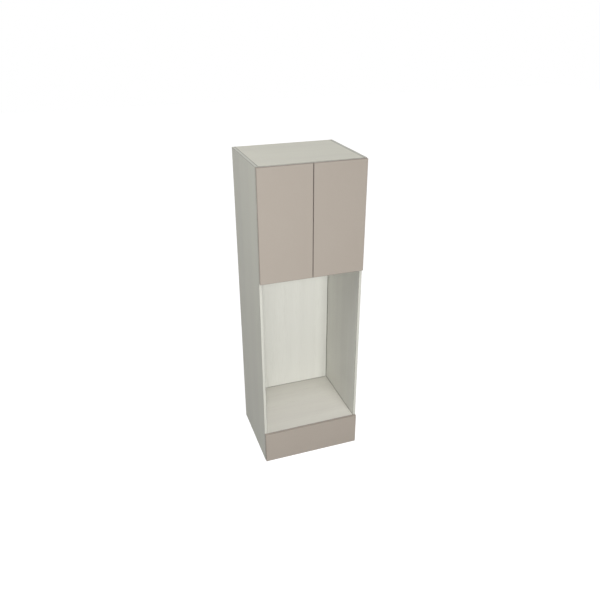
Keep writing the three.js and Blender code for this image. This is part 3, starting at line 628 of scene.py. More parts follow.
def new_group(
    name: str, takes: dict[str, str], gives: dict[str, str]
) -> tuple[Graph, bpy.types.NodeOutputs, bpy.types.NodeInputs]:
    """An empty node group.

    Args:
        name: the group's name.
        takes: each input's socket type.
        gives: each output's socket type.

    Returns:
        The graph to fill, the sockets that give the inputs and those that take the outputs.
    """
    tree = bpy.data.node_groups.new(name, "ShaderNodeTree")
    for way, sockets in (("INPUT", takes), ("OUTPUT", gives)):
        for label, kind in sockets.items():
            tree.interface.new_socket(label, in_out=way, socket_type=kind)
    given = tree.nodes.new("NodeGroupInput").outputs
    return Graph(tree), given, tree.nodes.new("NodeGroupOutput").inputs


def screen(tone: Tone) -> Rgba:
    """A colour in screen values as linear light with full cover."""
    parts = (value / 255 for value in tone)
    return (*(p / 12.92 if p <= 0.04045 else ((p + 0.055) / 1.055) ** 2.4 for p in parts), 1.0)


@cache
def wood_print() -> NodeTree:
    """A printed wood figure: broad streaks, fine fibres and short pores.

    Returns:
        The node group.
    """
    takes = {"Vector": VECTOR, "Ground": COLOUR, "Streak": COLOUR, "Pore": COLOUR}
    takes |= {"Fibre Depth": NUMBER, "Pore Depth": NUMBER}
    graph, given, taken = new_group("wood_print", takes, {"Color": COLOUR, "Height": NUMBER})
    where, pore = given["Vector"], given["Pore"]
    broad = graph.window(graph.noise(where, 11.0, 3.0), 0.36, 0.64)
    fibre = graph.window(graph.noise(where, 240.0, 2.0), 0.34, 0.66)
    dash = graph.window(graph.noise(where, 620.0, 1.0), 0.60, 0.72)
    patch = graph.window(graph.noise(where, 28.0, 1.0), 0.42, 0.62)
    pores = graph.maths("MULTIPLY", dash, patch)
    ground = graph.mix(broad, given["Ground"], given["Streak"])
    lined = graph.mix(graph.maths("MULTIPLY", fibre, given["Fibre Depth"]), ground, pore)
    dotted = graph.mix(graph.maths("MULTIPLY", pores, given["Pore Depth"]), lined, pore)
    graph.feed(taken["Color"], dotted)
    graph.feed(taken["Height"], graph.maths("MULTIPLY_ADD", pores, -1.0, fibre))
    return graph.tree


@cache
def handling() -> NodeTree:
    """Faint clouds of dust and touch that change colour and gloss a little.

    Returns:
        The node group.
    """
    takes = {"Vector": VECTOR, "Color": COLOUR, "Amount": NUMBER, "Roughness": NUMBER}
    graph, given, taken = new_group("handling", takes, {"Color": COLOUR, "Roughness": NUMBER})
    clouds = graph.window(graph.noise(given["Vector"], 3.5, 4.0), 0.35, 0.70)
    specks = graph.window(graph.noise(given["Vector"], 95.0, 2.0), 0.45, 0.75)
    cover = graph.maths("MULTIPLY", clouds, graph.maths("MULTIPLY_ADD", specks, 0.6, 0.4))
    share = graph.maths("MULTIPLY", cover, given["Amount"])
    graph.feed(taken["Color"], graph.mix(share, given["Color"], DUST))
    graph.feed(taken["Roughness"], graph.maths("MULTIPLY_ADD", share, 0.8, given["Roughness"]))
    return graph.tree


@cache
def speckle() -> NodeTree:
    """Two colours in fine grains, as in moulded plastic, pressed chips or bonded fibres.

    Returns:
        The node group.
    """
    takes = {"Vector": VECTOR, "First": COLOUR, "Second": COLOUR, "Scale": NUMBER}
    graph, given, taken = new_group("speckle", takes, {"Color": COLOUR, "Height": NUMBER})
    fine = graph.noise(given["Vector"], given["Scale"], 2.0)
    coarse = graph.noise(given["Vector"], graph.maths("MULTIPLY", given["Scale"], 0.23), 2.0)
    grains = graph.window(graph.maths("ADD", fine, coarse), 0.88, 1.14)
    graph.feed(taken["Color"], graph.mix(grains, given["First"], given["Second"]))
    graph.feed(taken["Height"], grains)
    return graph.tree


@cache
def rolled_metal() -> NodeTree:
    """Drawn lines and faint clouds of a plated steel sheet.

    Returns:
        The node group.
    """
    takes = {"Vector": VECTOR, "Tone": COLOUR, "Shade": COLOUR, "Roughness": NUMBER}
    gives = {"Color": COLOUR, "Roughness": NUMBER, "Height": NUMBER}
    graph, given, taken = new_group("rolled_metal", takes, gives)
    lines = graph.window(graph.noise(given["Vector"], 900.0, 2.0), 0.30, 0.70)
    clouds = graph.window(graph.noise(given["Vector"], 60.0, 3.0), 0.35, 0.65)
    shade = graph.maths("MULTIPLY", graph.maths("ADD", lines, clouds), 0.5)
    graph.feed(taken["Color"], graph.mix(shade, given["Tone"], given["Shade"]))
    graph.feed(taken["Roughness"], graph.maths("MULTIPLY_ADD", shade, 0.14, given["Roughness"]))
    graph.feed(taken["Height"], lines)
    return graph.tree


# ---------------------------------------------------------------- finishes


@dataclass(frozen=True)
class Finish:
    """A surface finish that becomes one material."""

    name: str
    _: KW_ONLY
    roughness: float = 0.5
    depth: float = 0.02  # of the relief, in millimetres
    touch: float = 0.05  # how much handling shows
    specular: float = 0.5
    metallic: float = 0.0

    def figure(self, graph: Graph) -> Node:
        """The group node that gives the finish's colour and height, and a metal's roughness."""
        raise NotImplementedError(self.name)

    def material(self) -> bpy.types.Material:
        """The finish as a material, made once: its figure, dulled by handling.

        Returns:
            The material.
        """
        if self.name in bpy.data.materials:
            return bpy.data.materials[self.name]
        made = bpy.data.materials.new(self.name)
        graph = Graph.of(made)
        figure = self.figure(graph).outputs
        touch = {
            "Vector": graph.place(),
            "Color": figure["Color"],
            "Amount": self.touch,
            "Roughness": figure.get("Roughness", self.roughness),
        }
        dulled = graph.group(handling(), touch).outputs
        relief = {"Height": figure["Height"], "Strength": 1.0, "Distance": self.depth * MM}
        surface = {
            "Base Color": dulled["Color"],
            "Roughness": dulled["Roughness"],
            "Metallic": self.metallic,
            "Specular IOR Level": self.specular,
            "Normal": graph.add("ShaderNodeBump", relief).outputs["Normal"],
        }
        shader = graph.add("ShaderNodeBsdfPrincipled", surface).outputs["BSDF"]
        graph.add("ShaderNodeOutputMaterial", {"Surface": shader})
        return made


@dataclass(frozen=True)
class WoodPrint(Finish):
    """Melamine facing with a faint wood print."""

    grain: Grain
    ground: Tone
    streak: Tone
    pore: Tone = (158, 154, 139)
    fibre_depth: float = 0.05
    pore_depth: float = 0.22
    along: float = 0.025  # how slowly the figure changes along the grain
    _: KW_ONLY
    roughness: float = 0.52
    depth: float = 0.04
    touch: float = 0.06
    specular: float = 0.35

    def figure(self, graph: Graph) -> Node:
        """The print.

        Args:
            graph: the graph of the new material.

        Returns:
            The group node.
        """
        inputs = {
            "Vector": graph.place(self.grain.stretch(self.along)),
            "Ground": screen(self.ground),
            "Streak": screen(self.streak),
            "Pore": screen(self.pore),
            "Fibre Depth": self.fibre_depth,
            "Pore Depth": self.pore_depth,
        }
        return graph.group(wood_print(), inputs)


@dataclass(frozen=True)
class Grainy(Finish):
    """A matt stuff of two colours in grains: chipboard, fibreboard or moulded plastic."""

    first: Tone
    second: Tone
    scale: float
    _: KW_ONLY
    touch: float = 0.08

    def figure(self, graph: Graph) -> Node:
        """The grains.

        Args:
            graph: the graph of the new material.

        Returns:
            The group node.
        """
        tones = {"First": screen(self.first), "Second": screen(self.second)}
        return graph.group(speckle(), {"Vector": graph.place(), "Scale": self.scale, **tones})


@dataclass(frozen=True)
class MattFoil(Grainy):
    """Smooth matt foil with a fine even tooth."""

    scale: float = 1400.0
    _: KW_ONLY
    roughness: float = 0.6
    touch: float = 0.05
    specular: float = 0.3


@dataclass(frozen=True)
class PlatedSteel(Finish):
    """Plated steel sheet or wire, with drawn lines along one axis."""

    tone: Point  # linear light
    shade: Point
    drawn: Grain
    _: KW_ONLY
    depth: float = 0.01
    metallic: float = 1.0

    def figure(self, graph: Graph) -> Node:
        """The plating.

        Args:
            graph: the graph of the new material.

        Returns:
            The group node.
        """
        inputs = {
            "Vector": graph.place(self.drawn.stretch(0.04)),
            "Tone": (*self.tone, 1.0),
            "Shade": (*self.shade, 1.0),
            "Roughness": self.roughness,
        }
        return graph.group(rolled_metal(), inputs)


# One decor in three tones for the way each board is lit: the upright tone is painted darker, as shade on the side
# panels' outer faces, and the across tone a little lighter, as painted light.
DECOR_LIT_AND_SHADED = {
    Grain.UPRIGHT: WoodPrint("decor_upright", Grain.UPRIGHT, (193, 193, 181), (189, 188, 178)),
    Grain.ACROSS: WoodPrint("decor_across", Grain.ACROSS, (212, 211, 198), (208, 206, 194)),
    Grain.DEPTH: WoodPrint("decor_depth", Grain.DEPTH, (207, 206, 195), (203, 201, 191)),
}
# Painted light: the faces that look into the unit are the same decor painted lighter, for light that the unit's own
# shade keeps from them.
INNER_DECOR_LIT = {
    Grain.UPRIGHT: WoodPrint("decor_inner_upright", Grain.UPRIGHT, (216, 216, 209), (212, 211, 205)),
    Grain.ACROSS: WoodPrint("decor_inner_across", Grain.ACROSS, (221, 219, 211), (217, 214, 207)),
    Grain.DEPTH: WoodPrint("decor_inner_depth", Grain.DEPTH, (213, 213, 205), (209, 208, 201)),
}
# Painted light: the back's printed face is the decor painted lighter, for light that the niche's shade keeps from it.
BACK_DECOR_LIT = WoodPrint("decor_back", Grain.UPRIGHT, (212, 212, 205), (208, 208, 201))
# A dark joint line where boards meet, made wider and darker with painted shade.
SEAM_LINE_AND_SHADE = MattFoil("seam_shade", (122, 121, 113), (116, 115, 107))
CARCASS_BAND = MattFoil("carcass_band", (196, 196, 187), (191, 191, 182), roughness=0.55)
# Painted shade: the carcass arris and rim are darker than its band and face, as shade along the boards' edges.
CARCASS_ARRIS_SHADE = MattFoil("carcass_arris", (128, 126, 114), (110, 108, 98))
CARCASS_RIM_SHADE = MattFoil("carcass_rim", (158, 156, 146), (150, 148, 138))
FRONT_FOIL = MattFoil("front_foil_face", (160, 151, 141), (158, 149, 139))
FRONT_BAND = MattFoil("front_band", (158, 149, 140), (153, 144, 135))
# Painted shade: the fronts' arris and rim are darker than their band and foil, as shade along the edges.
FRONT_ARRIS_SHADE = MattFoil("front_arris", (134, 126, 117), (125, 117, 109))
FRONT_RIM_SHADE = MattFoil("front_rim", (140, 132, 124), (135, 127, 119))
CHIPBOARD = Grainy("raw_chipboard", (196, 172, 132), (150, 122, 84), 420.0, roughness=0.85, depth=0.2)
HARDBOARD = Grainy("raw_hardboard", (150, 112, 76), (128, 92, 60), 900.0, roughness=0.8, depth=0.08)
GREY_PLASTIC = Grainy("grey_moulding", (146, 148, 147), (138, 140, 139), 700.0, depth=0.03)
CAP_PLASTIC = Grainy("cap_moulding", (196, 195, 186), (188, 187, 178), 800.0, roughness=0.42)
ZINC = PlatedSteel("bright_zinc", (0.62, 0.64, 0.67), (0.48, 0.50, 0.53), Grain.DEPTH, roughness=0.30)
NICKEL = PlatedSteel("bright_nickel", (0.60, 0.57, 0.52), (0.48, 0.455, 0.41), Grain.UPRIGHT, roughness=0.24)


# ---------------------------------------------------------------- boards


class Skin(Enum):
    """The kinds of surface on a board, in the order of its material slots."""

    FACE = 0
    BAND = 1
    RAW = 2
    # The arris and the rim take painted shade at the edges, the seam a dark joint line with painted shade, and the
    # inner faces of carcass boards a decor painted lighter.
    ARRIS = 3
    RIM = 4
    INNER = 5
    SEAM = 6


@dataclass(frozen=True)
class BoardFinish:
    """The finishes of one kind of board, one for each kind of surface."""

    face: Finish
    band: Finish
    arris: Finish
    rim: Finish
    inner: Finish
    raw: Finish = CHIPBOARD
    seam: Finish = SEAM_LINE_AND_SHADE

    def of(self, skin: Skin) -> Finish:
        """The finish of one kind of surface."""
        return getattr(self, skin.name.lower())


def carcass_board(grain: Grain) -> BoardFinish:
    """The finishes of a melamine board whose print runs one way; its inner sides take a decor painted lighter."""
    return BoardFinish(DECOR_LIT_AND_SHADED[grain], CARCASS_BAND, CARCASS_ARRIS_SHADE, CARCASS_RIM_SHADE, INNER_DECOR_LIT[grain])


FRONT_BOARD = BoardFinish(FRONT_FOIL, FRONT_BAND, FRONT_ARRIS_SHADE, FRONT_RIM_SHADE, FRONT_FOIL)
BACK_BOARD = BoardFinish(HARDBOARD, HARDBOARD, CARCASS_ARRIS_SHADE, CARCASS_RIM_SHADE, BACK_DECOR_LIT, HARDBOARD)


@dataclass
class Board:
    """A board with faced sides, banded and raw edges, and an eased arris all round.

    A thin rim on each faced side, along its banded edges, is painted darker as shade at the edge.
    Where the board butts against another one, the rim is a dark joint line widened with painted
    shade, and so is a band across its inner sides wherever another board meets them.
    """

    node: str
    body: str
    slot: str
    finish: BoardFinish
    faced: tuple[Facing, ...]
    banded: tuple[Facing, ...] = ()
    arris: float = 0.6 * MM
    arris_steps: int = 2
    rim: float = 1.8 * MM
    inner: tuple[Facing, ...] = ()  # sides that look into the unit
    butted: tuple[Facing, ...] = ()  # edges that stand against another board
    seams: tuple[tuple[int, float], ...] = ()  # axis and place of painted shade bands across the inner sides, where other boards meet them
    seam_half: float = 3.5 * MM

    NEAR = 1e-5  # how close a place has to be to a plane to lie on it

    def __post_init__(self) -> None:
        """Reads the board's corners from the frame."""
        self.low, self.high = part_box(self.node)

    def planes_near(self, point: Vector, reach: float) -> list[Facing]:
        """The sides of the board whose planes are within reach of a point."""
        return [f for f in Facing if abs(point[f.axis] - f.plane(self.low, self.high)) < reach]

    def skin_at(self, centre: Vector) -> Skin:
        """The kind of surface that a face with this centre is.

        Args:
            centre: the middle of one of the board's faces.

        Returns:
            The kind of surface.
        """
        on = self.planes_near(centre, self.NEAR)
        if not on:
            return Skin.ARRIS if len(self.planes_near(centre, self.arris)) > 1 else Skin.RAW
        if on[0] not in self.faced:
            return Skin.BAND if on[0] in self.banded else Skin.RAW
        beside = self.planes_near(centre, self.arris + self.rim)
        if any(facing in self.butted for facing in beside):
            return Skin.SEAM
        if any(facing in self.banded for facing in beside):
            return Skin.RIM
        if on[0] not in self.inner:
            return Skin.FACE
        # Painted shade in a band on both sides of each place where another board meets this one.
        in_shade_band = any(abs(centre[axis] - place) < self.seam_half for axis, place in self.seams)
        return Skin.SEAM if in_shade_band else Skin.INNER

    def mark_seams(self) -> None:
        """Divides the board under edit along both sides of each painted shade band."""
        for axis, place in self.seams:
            square = tuple(float(i == axis) for i in range(3))
            for edge in (place - self.seam_half, place + self.seam_half):
                bpy.ops.mesh.select_all(action="SELECT")
                bpy.ops.mesh.bisect(plane_co=tuple(edge * part for part in square), plane_no=square)

    def is_faced(self, face: bmesh.types.BMFace) -> bool:
        """Whether a face is one of the board's faced sides."""
        return any(side in self.faced for side in self.planes_near(face.calc_center_median(), self.NEAR))

    def build(self, tools: Iterable[Object] = ()) -> None:
        """Shapes the board, cuts it, gives each face its finish and mounts it.

        Args:
            tools: solids to cut out of the board, which may overlap.
        """
        piece = block(self.low, self.high)
        with editing(piece):
            bpy.ops.mesh.select_all(action="SELECT")
            bpy.ops.mesh.bevel(offset=self.arris, segments=self.arris_steps, affect="EDGES")
            if self.rim:
                pick(piece, "faces", self.is_faced)
                bpy.ops.mesh.inset(thickness=self.rim)
            self.mark_seams()
        if tools:
            combine(piece, joined(list(tools)), overlaps=True)
        for skin in Skin:
            piece.data.materials.append(self.finish.of(skin).material())
        for face in piece.data.polygons:
            face.material_index = self.skin_at(face.center).value
        ride(piece, f"{self.node}_board", self.body, self.slot, self.node)


def build_thin_board(node: str, body: str, side: Facing, seams: tuple[tuple[int, float], ...] = ()) -> None:
    """Builds a thin raw board that is printed on one side only."""
    inner = (side,)
    Board(node, body, "back_foil", BACK_BOARD, inner, arris=0.2 * MM, rim=0.0, inner=inner, seams=seams).build()


# ---------------------------------------------------------------- carcass


@dataclass
class Carcass:
    """The boards of the carcass and its back."""

    groove_depth: float = 8 * MM
    groove_play: float = 0.25 * MM
    hole_radius: float = 2.5 * MM
    hole_depth: float = 12 * MM
    hole_pitch: float = 32 * MM
    holes_each_way: int = 2  # from the shelf's hole, up and down

    def level_seams(self) -> list[tuple[int, float]]:
        """The painted shade bands where the fixed boards meet the sides and the back.

        Returns:
            The z axis with the height of each face that looks into the unit's three spaces.
        """
        heights = [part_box("base_panel")[1].z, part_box("top_panel")[0].z]
        for node in ("oven_shelf", "cupboard_floor"):
            heights += [corner.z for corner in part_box(node)]
        return [(Facing.UP.axis, height) for height in heights]

    def groove(self, node: str, inner: Facing) -> Object:
        """The tool for the groove that holds the back in a board's inner side.

        Args:
            node: the board's node.
            inner: the side that looks into the unit.

        Returns:
            The tool.
        """
        board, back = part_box(node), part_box("back_panel")
        low = [part - SPARE * MM for part in board[0]]
        high = [part + SPARE * MM for part in board[1]]
        low[1], high[1] = back[0].y - self.groove_play, back[1].y + self.groove_play
        floor = inner.plane(*board) - inner.sign * self.groove_depth
        (low if inner.sign > 0 else high)[inner.axis] = floor
        return block(low, high)

    def shelf_holes(self, side: Side) -> list[Object]:
        """The tools for both rows of shelf holes in a side panel.

        Args:
            side: the side that the panel stands on.

        Returns:
            The tools.
        """
        inner = side.inward.plane(*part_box(f"{side.word}_side_panel"))
        tools = []
        for row in ("front", "rear"):
            low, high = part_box(f"{side.word}_{row}_shelf_pin")
            y, z = (low.y + high.y) / 2, high.z - self.hole_radius
            for step in range(-self.holes_each_way, self.holes_each_way + 1):
                middle = (inner, y, z + step * self.hole_pitch)
                tools.append(rod("x", self.hole_radius, 2 * self.hole_depth, middle, 24))
        return tools

    def build(self) -> None:
        """Builds every board of the carcass."""
        front_edge = (Facing.FRONT,)
        # Bands of painted shade where the fixed boards meet the sides and the back.
        levels = self.level_seams()
        rear_shade_band = (Facing.REAR.axis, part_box("back_panel")[0].y)
        upright, across = (("carcass", "melamine", carcass_board(g)) for g in (Grain.UPRIGHT, Grain.ACROSS))
        for side in Side:
            node = f"{side.word}_side_panel"
            banded, inner = (Facing.FRONT, Facing.UP, Facing.DOWN), (side.inward,)
            panel = Board(node, *upright, ACROSS_SIDES, banded, inner=inner, seams=(rear_shade_band, *levels))
            panel.build([self.groove(node, side.inward), *self.shelf_holes(side)])
        # The ends of the base and the top, where they butt against the sides, take a dark joint line with painted
        # shade.
        for node, inner in (("base_panel", Facing.UP), ("top_panel", Facing.DOWN)):
            panel = Board(node, *across, LEVEL_SIDES, front_edge, inner=(inner,), butted=ACROSS_SIDES)
            panel.seams = (rear_shade_band,)
            panel.build([self.groove(node, inner)])
        for node in ("oven_shelf", "cupboard_floor", "adjustable_shelf"):
            Board(node, *across, LEVEL_SIDES, front_edge, inner=LEVEL_SIDES).build()
        for node in ("rear_low_rail", "rear_mid_rail", "rear_top_rail"):
            Board(node, *across, DEPTH_SIDES).build()
        # Bands of painted shade on the back's printed face, where the sides and the fixed boards meet it.
        inner_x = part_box("right_side_panel")[0].x
        ends = ((Facing.LEFT.axis, -inner_x), (Facing.RIGHT.axis, inner_x))
        build_thin_board("back_panel", "carcass", Facing.FRONT, (*ends, *levels))


# ---------------------------------------------------------------- fronts


@dataclass
class Fronts:
    """The doors and the drawer front, banded all round."""

    arris: float = 1.0 * MM
    arris_steps: int = 3
    rim: float = 1.2 * MM
    bore_radius: float = 17.8 * MM
    bore_depth: float = 11.8 * MM
    wing_overhang: float = 0.7 * MM  # of the cup's box past the bore, towards the door's edge

    def cup_bores(self, side: Side) -> list[Object]:
        """The tools for the two cup bores in a door's inner face.

        Args:
            side: the door's side.

        Returns:
            The tools.
        """
        tools = []
        inner_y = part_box(f"{side.word}_door")[1].y
        for level in ("lower", "upper"):
            low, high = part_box(f"{side.word}_{level}_hinge_cup")
            edge = low.x if side is Side.LEFT else high.x
            x = edge - side.value * (self.bore_radius + self.wing_overhang)
            middle = (x, inner_y, (low.z + high.z) / 2)
            tools.append(rod("y", self.bore_radius, 2 * self.bore_depth, middle, 64))
        return tools

    def build(self) -> None:
        """Builds the three fronts."""
        edges = {"arris": self.arris, "arris_steps": self.arris_steps, "rim": self.rim}
        look = ("front_foil", FRONT_BOARD, DEPTH_SIDES, (*ACROSS_SIDES, *LEVEL_SIDES))
        for side in Side:
            door = Board(f"{side.word}_door", f"{side.word}_door_leaf", *look, **edges)
            door.build(self.cup_bores(side))
        Board("drawer_front", "drawer", *look, **edges).build()


# ---------------------------------------------------------------- small fasteners


def in_metres(x: float, y: float, z: float) -> Point:
    """A place in millimetres as one in metres."""
    return (x * MM, y * MM, z * MM)


@dataclass
class Screws:
    """Screw heads with a cross recess, modelled once for each size."""

    recess_half_width: float = 0.14  # of the head's radius
    recess_reach: float = 0.58
    recess_depth: float = 0.62  # of the head's height

    def head(self, radius: float, height: float) -> Object:
        """A domed head on the origin, looking up.

        Args:
            radius: the head's radius in millimetres.
            height: how far it stands up in millimetres.

        Returns:
            The head.
        """
        profile = [(0, 0), (radius, 0), (radius, 0.35 * height), (0.93 * radius, 0.68 * height)]
        profile += [(0.75 * radius, 0.9 * height), (0.4 * radius, height), (0, height)]
        head = turned(profile, (0, 0, 0), (0, 0, 1), 32)
        w, r = self.recess_half_width * radius, self.recess_reach * radius
        outline = []
        for c, s in ((1, 0), (0, 1), (-1, 0), (0, -1)):
            outline += [(c * a - s * b, s * a + c * b) for a, b in ((r, -w), (r, w), (w, w))]
        combine(head, prism(outline, height * (1 - self.recess_depth), 2 * height, in_metres))
        return head

    def put(self, radius: float, height: float, places: Iterable[Point], facing: Point) -> Object:
        """Screw heads of one size as one piece.

        Args:
            radius: the heads' radius in millimetres.
            height: how far they stand up in millimetres.
            places: the middle of each head's seat.
            facing: the way that they look.

        Returns:
            The piece.
        """
        pattern = self.head(radius, height)
        turn = Vector((0, 0, 1)).rotation_difference(Vector(facing)).to_matrix().to_4x4()
        heads = []
        for place in places:
            head = copied(pattern)
            head.matrix_world = Matrix.Translation(place) @ turn
            heads.append(settle(head))
        discard([pattern])
        return dressed(joined(heads), ZINC)


# ---------------------------------------------------------------- shelf pins


@dataclass
class ShelfPins:
    """The four pins under the adjustable shelf. Lengths are millimetres."""

    plug_radius: float = 2.2
    plug_length: float = 10.0
    plug_drop: float = 2.5  # of its middle below the shelf
    seat_length: float = 9.0
    seat_width: float = 10.0
    lip: float = 2.5
    ease: float = 0.4

    def pattern(self) -> Object:
        """The left front pin: a wedge-shaped seat and a round plug.

        Returns:
            The pin.
        """
        low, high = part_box("left_front_shelf_pin")
        inner_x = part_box("left_side_panel")[1].x
        middle_y = (low.y + high.y) / 2
        drop = (high.z - low.z) / MM

        def place(inward: float, up: float, back: float) -> Point:
            """A place by the pin's hole, from the panel's face and the shelf's underside."""
            return (inner_x + inward * MM, middle_y + back * MM, high.z + up * MM)

        half, length = self.seat_width / 2, self.seat_length
        outline = [(0, 0), (length, 0), (length, -self.lip), (self.lip, -drop), (0, -drop)]
        seat = prism(outline, -half, half, place, self.ease)
        reach = self.plug_length + length / 2
        middle = place((length / 2 - self.plug_length) / 2, -self.plug_drop, 0)
        plug = rod("x", self.plug_radius * MM, reach * MM, middle)
        ease_edges(plug, self.ease)
        return fused([seat, plug])

    def build(self) -> None:
        """Puts a pin in each of its four holes."""
        pattern = dressed(self.pattern(), NICKEL)
        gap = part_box("left_rear_shelf_pin")[0].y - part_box("left_front_shelf_pin")[0].y
        for side in Side:
            for row, shift in (("front", 0.0), ("rear", gap)):
                pin = copied(pattern, (0, shift, 0), side is Side.RIGHT)
                stand_in(pin, f"{side.word}_{row}_shelf_pin", "steel", "carcass", "nickel_steel")
        discard([pattern])


# ---------------------------------------------------------------- hinges


@dataclass
class Hinges:
    """Four concealed cup hinges.

    One is modelled in plan on the left side panel, and the others are copies. In its plan, u
    runs from the panel's inner face into the cabinet, v runs forward from the carcass edges,
    and w is the height above the hinge's middle. Lengths are millimetres.
    """

    front_gap: float = 1.5
    cup_u: float = 6.0
    cup_radius: float = 17.5
    cup_depth: float = 11.5
    cup_wall: float = 1.0
    rim_width: float = 1.0
    wing_u: float = 15.5
    wing_span: float = 24.0
    wing_radius: float = 6.0
    arm_outer: Flat = (18.25, -10.25)
    arm_inner: Flat = (21.25, -3.0)
    cup_outer: Flat = (-6.0, 4.0)
    cup_inner: Flat = (-4.0, 9.0)
    outer_bends: tuple[tuple[Flat, ...], ...] = (  # from the cup's pin, then from the arm's
        ((4.5, 1.25), (7.25, 1.25), (9.5, 0.25)),
        ((-12.5, 12.75), (-9.5, 9.75)),
    )
    inner_bends: tuple[tuple[Flat, ...], ...] = (
        ((5.75, 1.25), (10.75, 1.25), (13.5, -0.5)),
        ((-10.25, 9.5), (-7.25, 6.5)),
    )
    arm_pin: float = 1.5
    cup_pin: float = 1.25
    pin_play: float = 0.3
    half_link: float = 1.1
    link_w: float = 2.75
    lug_w: Flat = (3.05, 4.55)
    plate_w: Flat = (4.85, 6.35)
    cheek_w: Flat = (6.65, 8.15)
    arm_top: float = 24.25
    arm_rear: float = -66.0
    arm_skirt: float = 6.0  # how far the cheeks' ends are raised
    arm_slot: Flat = (-40.0, -22.0)
    arm_slot_radius: float = 1.6
    tail_v: float = -52.0  # where the open slot at the arm's tail ends, and its screw sits
    tail_radius: float = 1.9
    guide_v: float = -31.0
    sheet: float = 1.5
    nose_radius: float = 3.0
    plate_v: float = -37.0
    plate_span: float = 16.0
    plate_thickness: float = 2.5
    bar_height: float = 14.0
    bar_ends: Flat = (-62.0, -29.0)
    bar_chamfer: float = 3.0
    slot_radius: float = 2.5
    slot_shifts: tuple[Flat, Flat] = ((-0.35, 0.0), (-0.7, -2.6))
    arm_cut: float = 3.0  # the cut corner at the arm's rear
    arm_slope: float = 4.0  # the run of the skirt's slope at the arm's rear
    arm_throat: Flat = (-2.0, 4.0)  # the skirt's slope behind and past the bar's front end
    web_past: float = 2.0  # of the web past the outer link's pin
    bowl_bends: Flat = (2.0, 2.5)  # radii inside and outside
    rim_edge: float = 0.3
    lug_step: float = 1.0
    cheek_inset: float = 2.5
    arm_pin_past: float = 0.3  # of a pin past what holds it
    cup_pin_past: float = 0.1
    stub_back: float = 0.2
    bowl_play: float = 0.2
    ease: float = 0.25
    plate_ease: float = 0.4
    bar_ease: float = 0.5
    pin_ease: float = 0.15
    wing_ease: float = 0.2
    plate_screw: Flat = (3.9, 1.3)  # each screw head's radius and height
    cup_screw: Flat = (3.7, 1.3)
    fixing_screw: Flat = (3.2, 1.0)
    guide_screw: Flat = (2.4, 0.7)

    def __post_init__(self) -> None:
        """Reads the pattern hinge's origin from the frame."""
        panel_low, panel_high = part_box("left_side_panel")
        self.middles = {
            level: sum(c.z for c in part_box(f"left_{level}_hinge_plate")) / 2 for level in ("lower", "upper")
        }
        self.origin = Vector((panel_high.x, panel_low.y, self.middles["lower"]))

    def plan(self, u: float, v: float, w: float) -> Point:
        """A place in the hinge's plan as one in the frame."""
        return tuple(self.origin + Vector((u, -v, w)) * MM)

    def upright(self, v: float, w: float, u: float) -> Point:
        """A place on the panel's face, u off it, as one in the frame."""
        return self.plan(u, v, w)

    def facing_door(self, u: float, w: float, v: float) -> Point:
        """A place on the door's inner face, v forward, as one in the frame."""
        return self.plan(u, v, w)

    def pin(self, radius: float, centre: Flat, low: float, high: float) -> Object:
        """A round pin across the hinge."""
        return prism(ring(centre, radius, PIN_SIDES), low, high, self.plan, self.pin_ease)

    def both_sides(self, outline: list[Flat], layer: Flat) -> list[Object]:
        """The same sheet above and below the hinge's middle, between two heights off it."""
        low, high = layer
        return [prism(outline, a, b, self.plan, self.ease) for a, b in ((low, high), (-high, -low))]

    def mounting_plate(self) -> Object:
        """The cross-shaped plate and the raised bar that the arm slides over.

        Returns:
            The plate.
        """
        v, span = self.plate_v, self.plate_span
        wings = oblong((v, span), (v, -span), self.wing_radius, 0, 16)
        plate = prism(wings, 0, self.plate_thickness, self.upright, self.plate_ease)
        (rear, front), half = self.bar_ends, self.plate_w[1]
        top, cut = self.bar_height, self.bar_chamfer
        bar = [(0, rear), (top - cut, rear), (top, rear + cut), (top, front - cut), (top - cut, front), (0, front)]
        return fused([plate, prism(bar, -half, half, self.plan, self.bar_ease)])

    def arm(self) -> Object:
        """The channel over the bar, with the outer link's pin across its nose.

        Returns:
            The arm.
        """
        low = self.plate_thickness + self.pin_play
        raised, top, end = low + self.arm_skirt, self.arm_top, self.cheek_w[1]
        rear, front = self.arm_rear, self.bar_ends[1]
        behind, ahead = (front + reach for reach in self.arm_throat)
        cut, web_low, web_front = self.arm_cut, top - self.sheet, self.arm_outer[1] + self.web_past
        outline = [
            *arc(self.arm_inner, self.nose_radius, 0, 160, 14),
            *arc(self.arm_outer, self.nose_radius, 160, 225, 6),
            *((raised, ahead), (low, behind), (low, rear + self.arm_slope), (raised, rear)),
            *((top - cut, rear), (top, rear + cut)),
        ]
        web = [(web_low, rear + cut), (top, rear + cut), (top, web_front), (web_low, web_front)]
        parts = [*self.both_sides(outline, self.cheek_w), prism(web, -end, end, self.plan, self.ease)]
        pin_end = end + self.arm_pin_past
        body = fused([*parts, self.pin(self.arm_pin, self.arm_outer, -pin_end, pin_end)])
        eye = ring(self.arm_inner, self.arm_pin + self.pin_play, PIN_SIDES)
        combine(body, prism(eye, -end - SPARE, end + SPARE, self.plan))
        slot = oblong((self.arm_slot[1], 0), (self.arm_slot[0], 0), self.arm_slot_radius, -90, 12)
        half, past = self.tail_radius, rear - 2 * SPARE
        tail = [*arc((self.tail_v, 0), half, 90, -90, 12), (past, -half), (past, half)]
        for outline in (slot, tail):
            combine(body, prism(outline, web_low - SPARE, top + SPARE, self.upright))
        return body

